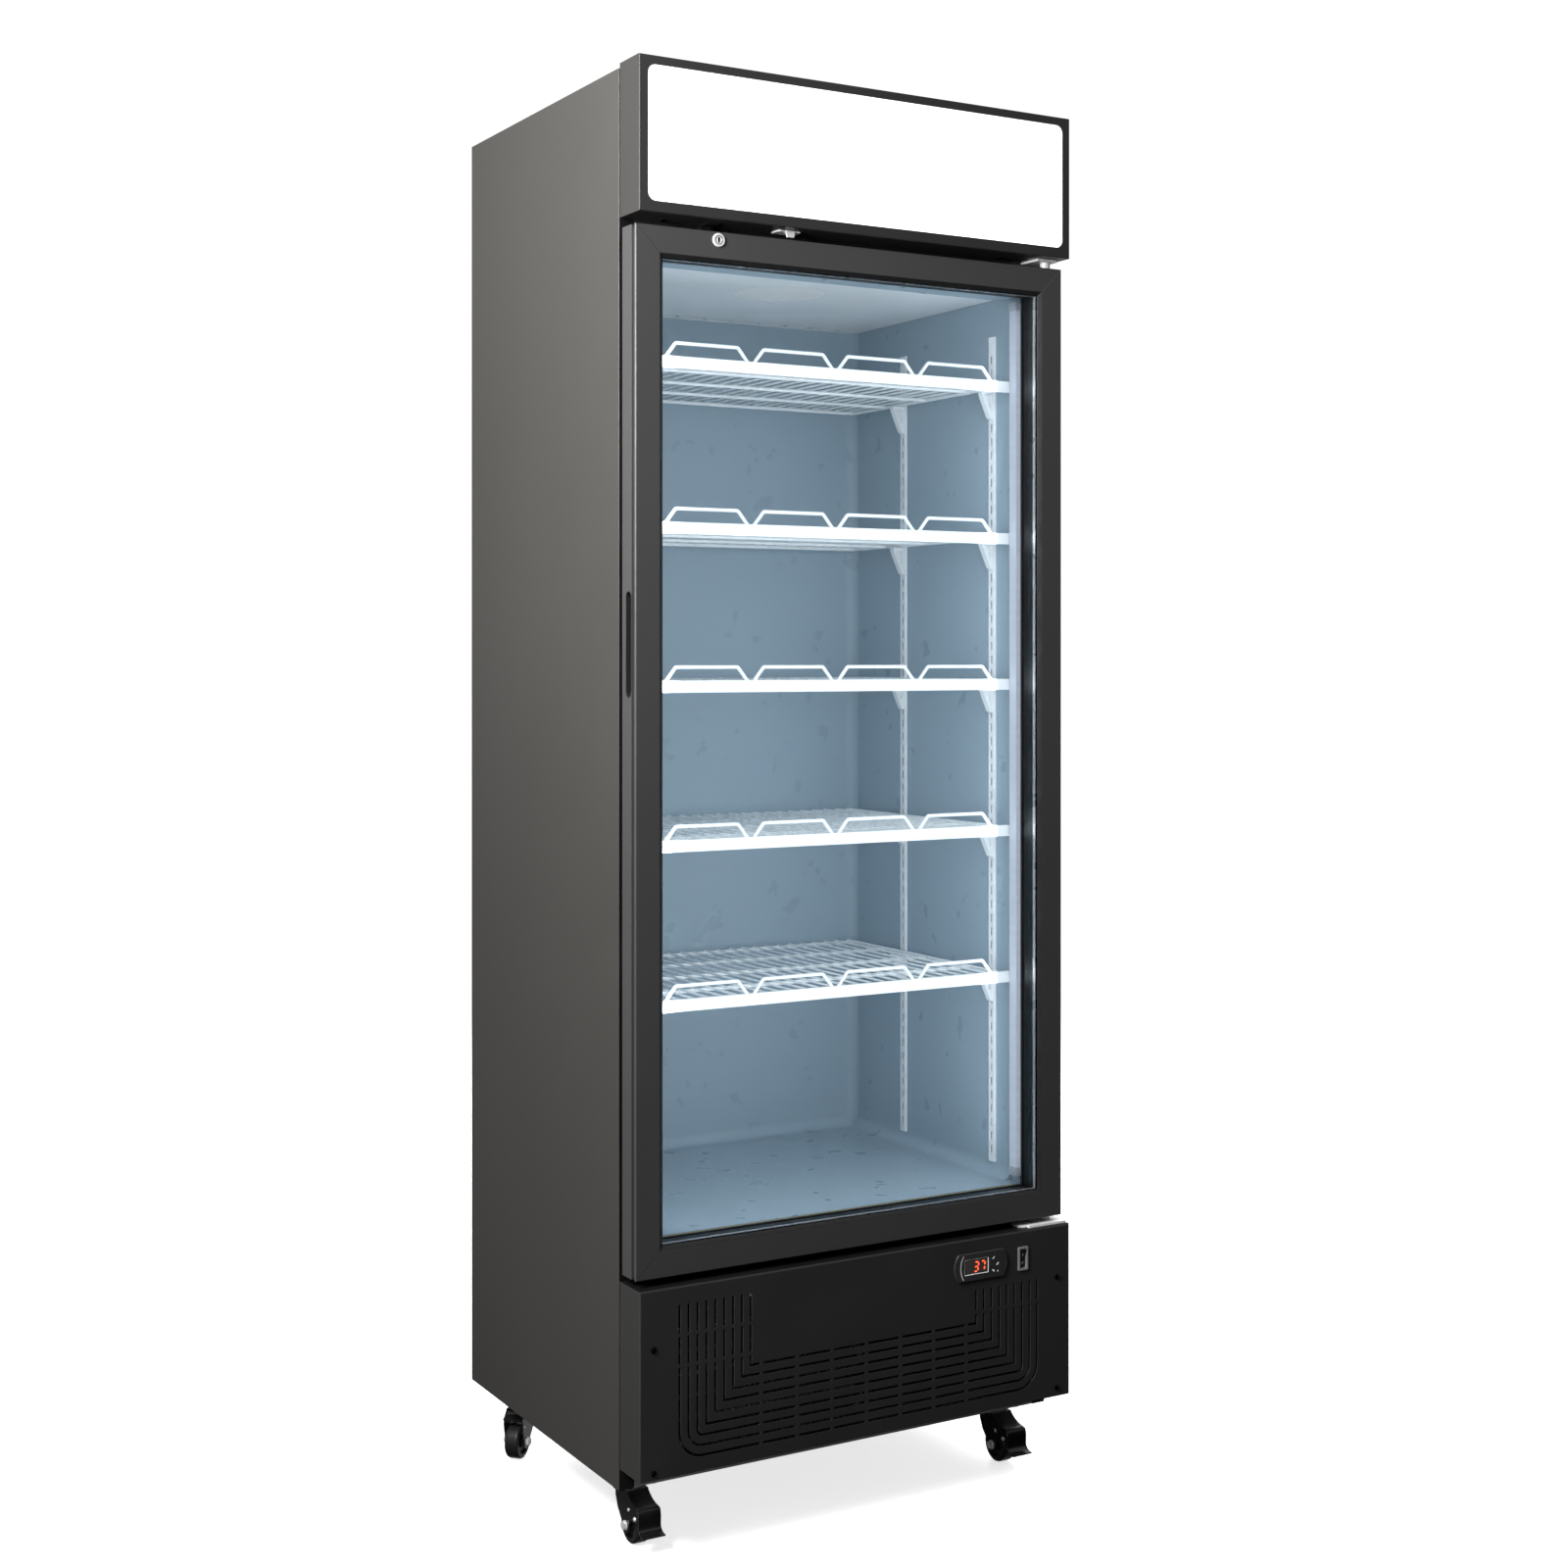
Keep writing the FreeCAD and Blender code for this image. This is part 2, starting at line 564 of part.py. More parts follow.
def led_strips():
    """Four LED bars: two on the interior jambs and two inside the canopy."""
    front = SHELL_FRONT + 2.5
    bars = []
    for side in (-1, 1):
        wall = side * INNER_HALF_WIDTH
        tube = box((wall, wall - side * 8), (front + 1, front + 17), (436, 1674))
        caps = [box((wall, wall - side * 9), (front, front + 18), z)
                for z in ((424, 436), (1674, 1686))]
        bars.append(fuse([tube] + caps))
    for z in (1800, 1880):
        tube = box((-300, 300), (SHELL_FRONT - 12, SHELL_FRONT - 4), (z, z + 16))
        caps = [box(x, (SHELL_FRONT - 13, SHELL_FRONT - 3), (z - 1, z + 17))
                for x in ((-312, -300), (300, 312))]
        bars.append(fuse([tube] + caps))
    return Part.makeCompound(bars)


# ---- door -----------------------------------------------------------------------------
GLASS = 4.0
GLASS_FRONT = DOOR_FACE + 4.0
GLASS_GAP = 6.0
GLASS_INSET = 31.5
RETURN_INSET = 39.0
GROOVE = (3.0, 12.0, 4.0)         # start and end behind the door face, and depth
LOCK_X = -222.0
LOCK_Z = 1718.0
LOCK_RADIUS = 9.0
SLOT_Z = (1122.0, 1257.0)
SLOT_Y = (FRONT + 24.4, FRONT + 38.4)
SLOT_DEPTH = 21.0
POCKET_WALL = 1.2


def frame_section(outer, y):
    """Closed outline of the door frame's extrusion, as (inset, y) pairs."""
    groove_front = y[0] + GROOVE[0]
    groove_rear = y[0] + GROOVE[1]
    glass_rear = GLASS_FRONT + 2 * GLASS + GLASS_GAP + SEAM
    return [(outer, y[0] + 1.0), (outer + 1.0, y[0]), (RAIL, y[0]),
            (RAIL, GLASS_FRONT - SEAM), (GLASS_INSET - 1, GLASS_FRONT - SEAM),
            (GLASS_INSET - 1, glass_rear), (RETURN_INSET, glass_rear),
            (RETURN_INSET, y[1]), (outer, y[1]),
            (outer, groove_rear), (outer + GROOVE[2], groove_rear),
            (outer + GROOVE[2], groove_front), (outer, groove_front)]


def door_rail(corner, along, inward, length):
    """One mitred rail, from an outer corner along the edge."""
    corner, along, inward = Vector(*corner), Vector(*along), Vector(*inward)
    section = [corner + inward * inset + along * inset + Vector(0, y - DOOR_FACE, 0)
               for inset, y in frame_section(0.0, (DOOR_FACE, DOOR_BACK))]
    far = [corner + inward * inset + along * (length - inset) + Vector(0, y - DOOR_FACE, 0)
           for inset, y in frame_section(0.0, (DOOR_FACE, DOOR_BACK))]
    start = Part.makePolygon(section + section[:1])
    end = Part.makePolygon(far + far[:1])
    return Part.makeLoft([start, end], True, True)


def door_frame():
    """Four mitred extrusions, bored for the hinge pins, the lock and the handle pocket."""
    wide = DOOR_RIGHT - DOOR_LEFT
    tall = DOOR_TOP - DOOR_BOTTOM
    left = door_rail((DOOR_LEFT, DOOR_FACE, DOOR_BOTTOM), (0, 0, 1), (1, 0, 0), tall)
    right = door_rail((DOOR_RIGHT, DOOR_FACE, DOOR_BOTTOM), (0, 0, 1), (-1, 0, 0), tall)
    bottom = door_rail((DOOR_LEFT, DOOR_FACE, DOOR_BOTTOM), (1, 0, 0), (0, 0, 1), wide)
    top = door_rail((DOOR_LEFT, DOOR_FACE, DOOR_TOP), (1, 0, 0), (0, 0, -1), wide)
    left = left.cut(pocket_outline(0.05))
    top = top.cut(cylinder(7.05, (LOCK_X, DOOR_FACE - 1, LOCK_Z),
                           (LOCK_X, DOOR_BACK + 1, LOCK_Z)))
    pin_hole = HINGE_PIN_RADIUS + RUNNING_CLEARANCE
    bores = [cylinder(pin_hole, (HINGE_X, HINGE_Y, DOOR_BOTTOM - 1),
                      (HINGE_X, HINGE_Y, DOOR_BOTTOM + 22)),
             cylinder(pin_hole, (HINGE_X, HINGE_Y, DOOR_TOP - 22),
                      (HINGE_X, HINGE_Y, DOOR_TOP + 1))]
    rails = [cut(rail, bores) for rail in (left, right, bottom, top)]
    return Part.makeCompound(rails)


def pocket_outline(gap):
    """Outer envelope of the handle pocket in the left stile, rounded at both ends."""
    grow = POCKET_WALL + gap
    width = (SLOT_Y[0] - grow, SLOT_Y[1] + grow)
    radius = (width[1] - width[0]) / 2
    middle = sum(SLOT_Y) / 2
    depth = (DOOR_LEFT - gap, DOOR_LEFT + SLOT_DEPTH + grow)
    ends = [z + step for z, step in zip(SLOT_Z, (radius - grow, grow - radius))]
    return fuse([box(depth, width, ends)]
                + [cylinder(radius, (depth[0], middle, z), (depth[1], middle, z))
                   for z in ends])


def handle_pocket():
    """Moulded finger pull let into the edge of the left stile."""
    radius = (SLOT_Y[1] - SLOT_Y[0]) / 2
    middle = sum(SLOT_Y) / 2
    depth = (DOOR_LEFT - 1, DOOR_LEFT + SLOT_DEPTH)
    ends = (SLOT_Z[0] + radius, SLOT_Z[1] - radius)
    hollow = fuse([box(depth, SLOT_Y, ends)]
                  + [cylinder(radius, (depth[0], middle, z), (depth[1], middle, z))
                     for z in ends])
    return pocket_outline(0.0).cut(hollow)


def glazing_bead():
    """Bevelled black bead between the frame's face and the outer pane."""
    slope = 5.4
    rear = GLASS_FRONT - SEAM
    left = DOOR_LEFT + RAIL + SEAM
    right = DOOR_RIGHT - RAIL - SEAM
    low = DOOR_BOTTOM + RAIL + SEAM
    high = DOOR_TOP - RAIL - SEAM
    block = box((left, right), (DOOR_FACE, rear), (low, high))
    mouth = Part.makePolygon([Vector(left, DOOR_FACE, low), Vector(right, DOOR_FACE, low),
                              Vector(right, DOOR_FACE, high), Vector(left, DOOR_FACE, high),
                              Vector(left, DOOR_FACE, low)])
    throat = Part.makePolygon([Vector(left + slope, rear, low + slope),
                               Vector(right - slope, rear, low + slope),
                               Vector(right - slope, rear, high - slope),
                               Vector(left + slope, rear, high - slope),
                               Vector(left + slope, rear, low + slope)])
    return block.cut(Part.makeLoft([mouth, throat], True, True))


def glass_pane(front):
    """One pane of the sealed glazing unit."""
    return box((DOOR_LEFT + GLASS_INSET, DOOR_RIGHT - GLASS_INSET), (front, front + GLASS),
               (DOOR_BOTTOM + GLASS_INSET, DOOR_TOP - GLASS_INSET))


def glass_spacer():
    """Hollow bar that holds the two panes apart and seals the gap."""
    return frame_ring(GLASS_INSET + 2, RETURN_INSET + 2.5,
                      (GLASS_FRONT + GLASS, GLASS_FRONT + GLASS + GLASS_GAP))


GASKET_INSET = (18.0, 34.0)


def door_gasket():
    """Magnetic gasket with a waist between its foot and its sealing face."""
    rear = SHELL_FRONT - 0.3
    depth = rear - DOOR_BACK
    foot = frame_ring(GASKET_INSET[0], GASKET_INSET[1], (DOOR_BACK, DOOR_BACK + depth * 0.35))
    waist = frame_ring(GASKET_INSET[0] + 3, GASKET_INSET[1] - 3, (DOOR_BACK, rear))
    face = frame_ring(GASKET_INSET[0], GASKET_INSET[1], (rear - depth * 0.35, rear))
    return fuse([foot, waist, face])


# ---- lock -----------------------------------------------------------------------------
PLUG_RADIUS = 5.5
CAM_FRONT = DOOR_BACK + 1.3
CAM_REAR = DOOR_BACK + 3.8


def lock_barrel():
    """Fixed cylinder of the cam lock, with a domed flange on the door's face."""
    flange = cylinder(LOCK_RADIUS, (LOCK_X, DOOR_FACE - 2.2, LOCK_Z), (LOCK_X, DOOR_FACE, LOCK_Z))
    rim = [edge for edge in flange.Edges
           if len(edge.Vertexes) == 1 and edge.CenterOfMass.y < DOOR_FACE - 2]
    flange = flange.makeFillet(1.2, rim)
    body = cylinder(7.0, (LOCK_X, DOOR_FACE - 0.5, LOCK_Z), (LOCK_X, DOOR_BACK, LOCK_Z))
    bore = cylinder(PLUG_RADIUS + RUNNING_CLEARANCE, (LOCK_X, DOOR_FACE - 4, LOCK_Z),
                    (LOCK_X, DOOR_BACK + 1, LOCK_Z))
    return fuse([flange, body]).cut(bore)


def lock_plug():
    """Keyed plug with the cam that turns up behind the keeper."""
    plug = cylinder(PLUG_RADIUS, (LOCK_X, DOOR_FACE - 1.8, LOCK_Z), (LOCK_X, CAM_REAR, LOCK_Z))
    keyway = box((LOCK_X - 0.6, LOCK_X + 0.6), (DOOR_FACE - 4, DOOR_FACE + 12),
                 (LOCK_Z - 3.4, LOCK_Z + 3.4))
    cam = box((LOCK_X, LOCK_X + 18), (CAM_FRONT, CAM_REAR), (LOCK_Z - 4, LOCK_Z + 4))
    tip = cylinder(4, (LOCK_X + 18, CAM_FRONT, LOCK_Z), (LOCK_X + 18, CAM_REAR, LOCK_Z))
    washer = cylinder(6.5, (LOCK_X, CAM_FRONT, LOCK_Z), (LOCK_X, CAM_REAR, LOCK_Z))
    return fuse([plug.cut(keyway), cam, tip, washer])


def lock_catch():
    """Keeper above the lock and the plated catch plate, under the canopy."""
    keeper = fuse([
        box((LOCK_X - 9, LOCK_X + 9), (DOOR_BACK - 3, DOOR_BACK + 0.8),
            (DOOR_TOP + 4, CANOPY_BOTTOM)),
        box((LOCK_X - 9, LOCK_X + 9), (DOOR_BACK - 24, DOOR_BACK + 0.8),
            (CANOPY_BOTTOM - 2, CANOPY_BOTTOM)),
    ])
    x, y = -107.0, FRONT + 33
    top = CANOPY_BOTTOM
    plate = box((x - 18, x + 18), (y - 11, y + 11), (top - 2, top))
    plate = plate.makeFillet(4, [edge for edge in plate.Edges if edge.Length < 2.5])
    tongue = prism([(x - 7, y - 12, top - 1), (x + 7, y - 12, top - 1),
                    (x + 5, y - 12, top - 9), (x - 5, y - 12, top - 9)], (0, 3, 0))
    bridge = box((x - 7, x + 7), (y - 12, y - 5), (top - 2.5, top - 0.2))
    return Part.makeCompound([keeper, fuse([plate, tongue, bridge])])


# ---- hinges ---------------------------------------------------------------------------
def hinge_brackets():
    """Lower plate on the grille panel and upper plate under the canopy, with their pins."""
    lower_z = (BASE_TOP, BASE_TOP + 3)
    lower = box((276, 340), (FRONT + 6, SHELL_FRONT - 0.3), lower_z)
    lower = lower.fuse(cylinder(14, (276, FRONT + 26, lower_z[0]), (276, FRONT + 26, lower_z[1])))
    fixing = box((280, 340), (SHELL_FRONT - 3.3, SHELL_FRONT - 0.3), (BASE_TOP, DOOR_BOTTOM - 2))
    lower_pin = cylinder(HINGE_PIN_RADIUS, (HINGE_X, HINGE_Y, lower_z[0]),
                         (HINGE_X, HINGE_Y, DOOR_BOTTOM + 20))
    collar = cylinder(7, (HINGE_X, HINGE_Y, lower_z[0]), (HINGE_X, HINGE_Y, DOOR_BOTTOM - 0.6))
    upper_z = (CANOPY_BOTTOM - 3.5, CANOPY_BOTTOM - 0.2)
    upper = box((300, 334), (FRONT + 18, SHELL_FRONT - 0.3), upper_z)
    upper_pin = cylinder(HINGE_PIN_RADIUS, (HINGE_X, HINGE_Y, DOOR_TOP - 20),
                         (HINGE_X, HINGE_Y, upper_z[1]))
    upper_collar = cylinder(7, (HINGE_X, HINGE_Y, DOOR_TOP + 0.6), (HINGE_X, HINGE_Y, upper_z[0]))
    return Part.makeCompound([fuse([lower, fixing, lower_pin, collar]),
                              fuse([upper, upper_pin, upper_collar])])


# ---- shelving -------------------------------------------------------------------------
STANDARD_WIDTH = 14.0
STANDARD_DEPTH = 3.5
STANDARD_SKIN = 1.0
SHELF_WIRE = 1.6                  # radius of the deck wires
CROSS_WIRE = 2.4
FRAME_WIRE = 2.8
GUARD_WIRE = 2.4
WIRE_DROP = 0.3                   # deck wires lie this far below the lip's top edge
WELD = 0.9                        # depth to which deck wires are let into the frame wire


def shelf_standard(side, y):
    """Slotted upright channel screwed to the side wall."""
    wall = side * INNER_HALF_WIDTH
    face = wall - side * STANDARD_DEPTH
    half = STANDARD_WIDTH / 2
    channel = box((wall, face), (y - half, y + half), (STANDARD_BOTTOM, STANDARD_TOP))
    hollow = box((wall + side, face + side * STANDARD_SKIN),
                 (y - half + STANDARD_SKIN, y + half - STANDARD_SKIN),
                 (STANDARD_BOTTOM - 1, STANDARD_TOP + 1))
    slots = []
    z = STANDARD_BOTTOM + 12
    while z < STANDARD_TOP - 20:
        slots.append(box((face - side, face + side * 2), (y - 1.7, y + 1.7), (z, z + 12)))
        z += 20.0
    return cut(channel, [hollow] + slots)


def shelf_standards():
    """Two uprights on each side wall."""
    return Part.makeCompound([shelf_standard(side, y)
                              for side in (-1, 1) for y in STANDARD_ROWS])


def shelf_clip(side, y, top):
    """White gusset clip that hooks into a standard and carries a shelf's side wire."""
    wall = side * (INNER_HALF_WIDTH - STANDARD_DEPTH - 0.1)
    tip = side * (INNER_HALF_WIDTH - 24)
    width = (y - 5.0, y + 5.0)
    gusset = prism([(wall, width[0], top), (tip, width[0], top), (tip, width[0], top - 5),
                    (wall - side * 5, width[0], top - 40), (wall, width[0], top - 42)],
                   (0, width[1] - width[0], 0))
    relief = prism([(wall - side * 5, width[0] - 1, top - 6),
                    (wall - side * 15, width[0] - 1, top - 6),
                    (wall - side * 5, width[0] - 1, top - 27)],
                   (0, 4.0, 0))
    return gusset.cut(relief)


def shelf_clips():
    """Four clips to each shelf."""
    clips = []
    for level in SHELF_LEVELS:
        for side in (-1, 1):
            for y in STANDARD_ROWS:
                clips.append(shelf_clip(side, y, shelf_underside(level)))
    return Part.makeCompound(clips)


def deck_wire_height(level):
    """Centre height of a shelf's deck wires."""
    return level + LIP_HEIGHT / 2 - WIRE_DROP - SHELF_WIRE


def frame_wire_height(level):
    """Centre height of a shelf's frame wire, with the deck wires welded on top."""
    return deck_wire_height(level) - SHELF_WIRE - FRAME_WIRE + WELD


def shelf_underside(level):
    """Height at which a shelf's side wires rest on the clips."""
    return frame_wire_height(level) - FRAME_WIRE - 0.3


def guard_loop(centre, y, z):
    """Raised trapezoid loop that stops goods sliding off the front."""
    points = [(centre - 62.2, y, z - 1.1), (centre - 47, y, z + 18),
              (centre + 47, y, z + 18), (centre + 62.2, y, z - 1.1)]
    return wire_path(points, GUARD_WIRE, 4.0)


def wire_shelf(level):
    """Wire shelf: front lip, bent frame wire, close deck wires and a guard of four loops."""
    top = level + LIP_HEIGHT / 2
    edge = SHELF_HALF_WIDTH
    side = edge - 3
    front = SHELF_FRONT + 1
    rear = SHELF_REAR - FRAME_WIRE
    deck_z = deck_wire_height(level)
    frame_z = frame_wire_height(level)
    pieces = [box((-edge, edge), (SHELF_FRONT, SHELF_FRONT + 2), (level - 8, top))]
    for z in (level - 8, top - 1.6):
        pieces.append(box((-edge, edge), (SHELF_FRONT, SHELF_FRONT + 6), (z, z + 1.6)))
    corners = [(-side, front, frame_z), (-side, rear, frame_z),
               (side, rear, frame_z), (side, front, frame_z)]
    pieces.append(wire_path(corners, FRAME_WIRE, 8.0))
    for y in (-120.0, 0.0, 110.0):
        pieces.append(cylinder(CROSS_WIRE, (-side, y, frame_z), (side, y, frame_z)))
    count = 27
    pitch = 2 * (edge - 12) / (count - 1)
    for index in range(count):
        x = -edge + 12 + pitch * index
        pieces.append(cylinder(SHELF_WIRE, (x, front, deck_z), (x, rear + 2.4, deck_z)))
    for centre in (-201, -67, 67, 201):
        pieces.append(guard_loop(centre, SHELF_FRONT + 3.5, top))
    return fuse(pieces)


# ---- refrigeration --------------------------------------------------------------------
GLAND_X = -280.0
GLAND_Z = 150.0
EVAPORATOR_FAN = (0.0, -60.0, 1712.0)
CONDENSER_FAN = (-110.0, -118.0, 205.0)


def finned_coil(x, y, z, fins, rows, columns):
    """Block of fin plates on straight tubes joined by return bends."""
    pitch = (x[1] - x[0]) / (fins - 1)
    pieces = [box((x[0] + pitch * i - 0.4, x[0] + pitch * i + 0.4), y, z)
              for i in range(fins)]
    step_y = (y[1] - y[0]) / columns
    step_z = (z[1] - z[0]) / rows
    for column in range(columns):
        cy = y[0] + step_y * (column + 0.5)
        for row in range(rows):
            cz = z[0] + step_z * (row + 0.5)
            pieces.append(cylinder(4.0, (x[0] - 8, cy, cz), (x[1] + 8, cy, cz)))
        for row in range(rows - 1):
            side = x[1] + 8 if row % 2 == 0 else x[0] - 8
            out = 1 if row % 2 == 0 else -1
            low = z[0] + step_z * (row + 0.5)
            bend = Part.makeTorus(step_z / 2, 4.0, Vector(side, cy, low + step_z / 2),
                                  Vector(0, 1, 0))
            pieces.append(bend.common(box((side, side + out * step_z), (cy - 5, cy + 5),
                                          (low - 5, low + step_z + 5))))
    for column in range(columns - 1):
        cy = y[0] + step_y * (column + 0.5)
        cz = z[0] + step_z * 0.5
        pieces.append(cylinder(4.0, (x[0] - 8, cy, cz), (x[0] - 8, cy + step_y, cz)))
    return fuse(pieces)


def axial_fan(hub_radius, tip_radius, depth, blades):
    """Fan turning about Z at the origin, hub and pitched blades in one moulding."""
    hub = cylinder(hub_radius, (0, 0, -depth / 2), (0, 0, depth / 2))
    pieces = [hub]
    for index in range(blades):
        blade = box((hub_radius - 3, tip_radius + 5), (-tip_radius * 0.3, tip_radius * 0.3),
                    (-1, 1))
        blade.rotate(Vector(0, 0, 0), Vector(1, 0, 0), 28)
        blade.rotate(Vector(0, 0, 0), Vector(0, 0, 1), 360.0 / blades * index)
        pieces.append(blade)
    envelope = cylinder(tip_radius, (0, 0, -depth), (0, 0, depth))
    bore = cylinder(2.5 + RUNNING_CLEARANCE, (0, 0, -depth), (0, 0, depth / 2 - 3))
    return fuse(pieces).common(envelope).cut(bore)


def evaporator_fan():
    """Fan that draws cabinet air up through the ceiling grille."""
    fan = axial_fan(18, 68, 20, 5)
    fan.rotate(Vector(0, 0, 0), Vector(1, 0, 0), 180)
    fan.translate(Vector(*EVAPORATOR_FAN))
    return fan


def condenser_fan():
    """Fan that draws room air through the condenser."""
    fan = axial_fan(22, 85, 24, 4)
    fan.rotate(Vector(0, 0, 0), Vector(1, 0, 0), 90)
    fan.translate(Vector(*CONDENSER_FAN))
    return fan


def fan_motor(reach):
    """Motor can with a shaft along +Z and three mounting arms, shaft tip at the origin."""
    can = cylinder(22, (0, 0, -reach - 34), (0, 0, -reach))
    can = can.makeFillet(3, [edge for edge in can.Edges if edge.CenterOfMass.z < -reach - 30
                             and len(edge.Vertexes) == 1])
    shaft = cylinder(2.5, (0, 0, -reach - 1), (0, 0, -4))
    arms = []
    for index in range(3):
        arm = box((18, 96), (-4, 4), (-reach - 20, -reach - 18))
        arm.rotate(Vector(0, 0, 0), Vector(0, 0, 1), 120 * index + 30)
        arms.append(arm)
    return fuse([can, shaft] + arms)


def fan_motors():
    """Evaporator and condenser fan motors."""
    upper = fan_motor(18)
    upper.rotate(Vector(0, 0, 0), Vector(1, 0, 0), 180)
    upper.translate(Vector(EVAPORATOR_FAN[0], EVAPORATOR_FAN[1], EVAPORATOR_FAN[2] - 10 + 3))
    lower = fan_motor(22)
    lower.rotate(Vector(0, 0, 0), Vector(1, 0, 0), 90)
    lower.translate(Vector(CONDENSER_FAN[0], CONDENSER_FAN[1] - 12 + 3, CONDENSER_FAN[2]))
    return Part.makeCompound([upper, lower])


def evaporator_coil():
    """Fin and tube evaporator above the ceiling cover."""
    return finned_coil((-190, 190), (70, 170), (1735, 1835), 34, 4, 3)


def evaporator_cover():
    """Moulded ceiling cover with an intake grille and rear outlet slots."""
    z = (1698.0, 1701.0)
    edge = INNER_HALF_WIDTH - 0.5
    plate = box((-edge, edge), (HEADER_REAR + 0.5, INNER_REAR - 0.5), z)
    rib = box((-edge, edge), (HEADER_REAR + 0.5, HEADER_REAR + 3.5), (z[0], z[1] + 22))
    x, y, level = EVAPORATOR_FAN
    ring_z = (z[0], level + 29)
    ring = cylinder(76, (x, y, ring_z[0]), (x, y, ring_z[1]))
    mouth = cylinder(72, (x, y, z[1] - 1), (x, y, ring_z[1] + 1))
    slots = []
    for index in range(-6, 7):
        half = math.sqrt(66.0 ** 2 - (10.0 * index) ** 2)
        slots.append(box((x - half, x + half), (y + 10 * index - 3, y + 10 * index + 3),
                         (z[0] - 1, z[1] + 1)))
    for index in range(11):
        start = -260 + 48 * index
        slots.append(box((start, start + 36), (INNER_REAR - 30, INNER_REAR - 14),
                         (z[0] - 1, z[1] + 1)))
    return cut(fuse([plate, rib, ring]), [mouth] + slots)


def condenser_coil():
    """Fin and tube condenser behind the grille panel."""
    return finned_coil((-240, 20), (-222, -168), (112, 292), 30, 6, 2)


def condenser_shroud():
    """Sheet shroud that seals the fan to the condenser."""
    x, y, z = CONDENSER_FAN
    plate = box((-262, 42), (y - 40, y - 38), (96, 314))
    walls = [box(span, (-166, y - 38), (96, 314)) for span in ((-262, -260), (40, 42))]
    ring = cylinder(91, (x, y - 40, z), (x, y + 31, z))
    bore = cylinder(89, (x, y - 41, z), (x, y + 32, z))
    return fuse([plate, ring] + walls).cut(bore)


def compressor():
    """Hermetic compressor: domed pot on a base plate, with its terminal box."""
    x, y = 190.0, 110.0
    low = SHELL_BOTTOM + 2
    pot = cylinder(72, (x, y, low + 22), (x, y, low + 170))
    pot = pot.makeFillet(34, [edge for edge in pot.Edges if len(edge.Vertexes) == 1])
    seam = cylinder(75, (x, y, low + 92), (x, y, low + 98))
    feet = box((x - 95, x + 95), (y - 60, y + 60), (low + 20, low + 24))
    grommets = [cylinder(11, (x + dx, y + dy, low), (x + dx, y + dy, low + 21))
                for dx in (-80, 80) for dy in (-45, 45)]
    terminal = box((x - 108, x - 60), (y - 30, y + 30), (low + 60, low + 130))
    stubs = [cylinder(4, (x + dx, y, low + 160), (x + dx, y, low + 190)) for dx in (-30, 30)]
    return fuse([pot, seam, feet, terminal] + grommets + stubs)


def refrigerant_tubing():
    """Discharge, suction and liquid lines with the filter drier."""
    stub = SHELL_BOTTOM + 192
    under_deck = 335.0
    coil_left, coil_top, coil_front, coil_back = -248.0, 277.0, -208.5, -181.5
    discharge = wire_path([(160, 110, stub), (160, 110, under_deck),
                           (160, coil_front, under_deck), (-268, coil_front, under_deck),
                           (-268, coil_front, coil_top), (coil_left, coil_front, coil_top)],
                          3.2, 10)
    suction = wire_path([(220, 110, stub), (220, 110, 328), (220, 248, 328),
                         (220, 248, 355)], 4.0, 12)
    low, side = 118.0, -262.0
    drier = [cone(4, 11, (side, 20, low), (side, 32, low)),
             cylinder(11, (side, 32, low), (side, 100, low)),
             cone(11, 4, (side, 100, low), (side, 112, low))]
    capillary = wire_path([(side, 111, low), (side, 160, low), (side, 160, 240),
                           (side, 248, 240), (side, 248, 350)], 1.6, 12)
    liquid = wire_path([(coil_left, coil_back, coil_top), (-285, coil_back, coil_top),
                        (-285, coil_back, low), (-285, -60, low), (side, -20, low),
                        (side, 21, low)], 3.2, 8)
    return Part.makeCompound([discharge, suction, fuse(drier + [capillary, liquid])])


def drain_pan():
    """Evaporation pan for the defrost water."""
    outer = box((-240, 60), (20, 220), (SHELL_BOTTOM + 2, SHELL_BOTTOM + 42))
    inner = box((-238, 58), (22, 218), (SHELL_BOTTOM + 4, SHELL_BOTTOM + 43))
    return outer.cut(inner)


def cord_gland():
    """Mains lead gland in the rear panel, without its lead."""
    seat = (GLAND_X, SHELL_REAR, GLAND_Z)
    nut = hexagon_rod(24, seat, (GLAND_X, SHELL_REAR + 6, GLAND_Z))
    dome = cone(11, 7, (GLAND_X, SHELL_REAR + 6, GLAND_Z), (GLAND_X, SHELL_REAR + 18, GLAND_Z))
    neck = cylinder(7.9, (GLAND_X, SHELL_REAR - 10, GLAND_Z), seat)
    bore = cylinder(4.2, (GLAND_X, SHELL_REAR - 11, GLAND_Z), (GLAND_X, REAR, GLAND_Z))
    return fuse([nut, dome, neck]).cut(bore)


def rear_spacers():
    """Moulded stand-offs that keep the back clear of a wall."""
    spacers = []
    for x in (-270.0, 270.0):
        for z in (520.0, 1820.0):
            foot = cylinder(24, (x, SHELL_REAR, z), (x, SHELL_REAR + 3, z))
            stem = cone(16, 12, (x, SHELL_REAR + 3, z), (x, REAR, z))
            spacers.append(fuse([foot, stem]))
    return Part.makeCompound(spacers)


# ---- casters --------------------------------------------------------------------------
AXLE_RADIUS = 4.0
LEG_INNER = 13.0
LEG_SHEET = 2.5
CROWN_HALF = LEG_INNER + LEG_SHEET
PEDAL_HALF = 16.5
CROWN = (68.5, 71.5)
KINGPIN_RADIUS = 4.0
PEDAL_Y = -49.0
PEDAL_Z = 42.5
PEDAL_PIN = 2.0


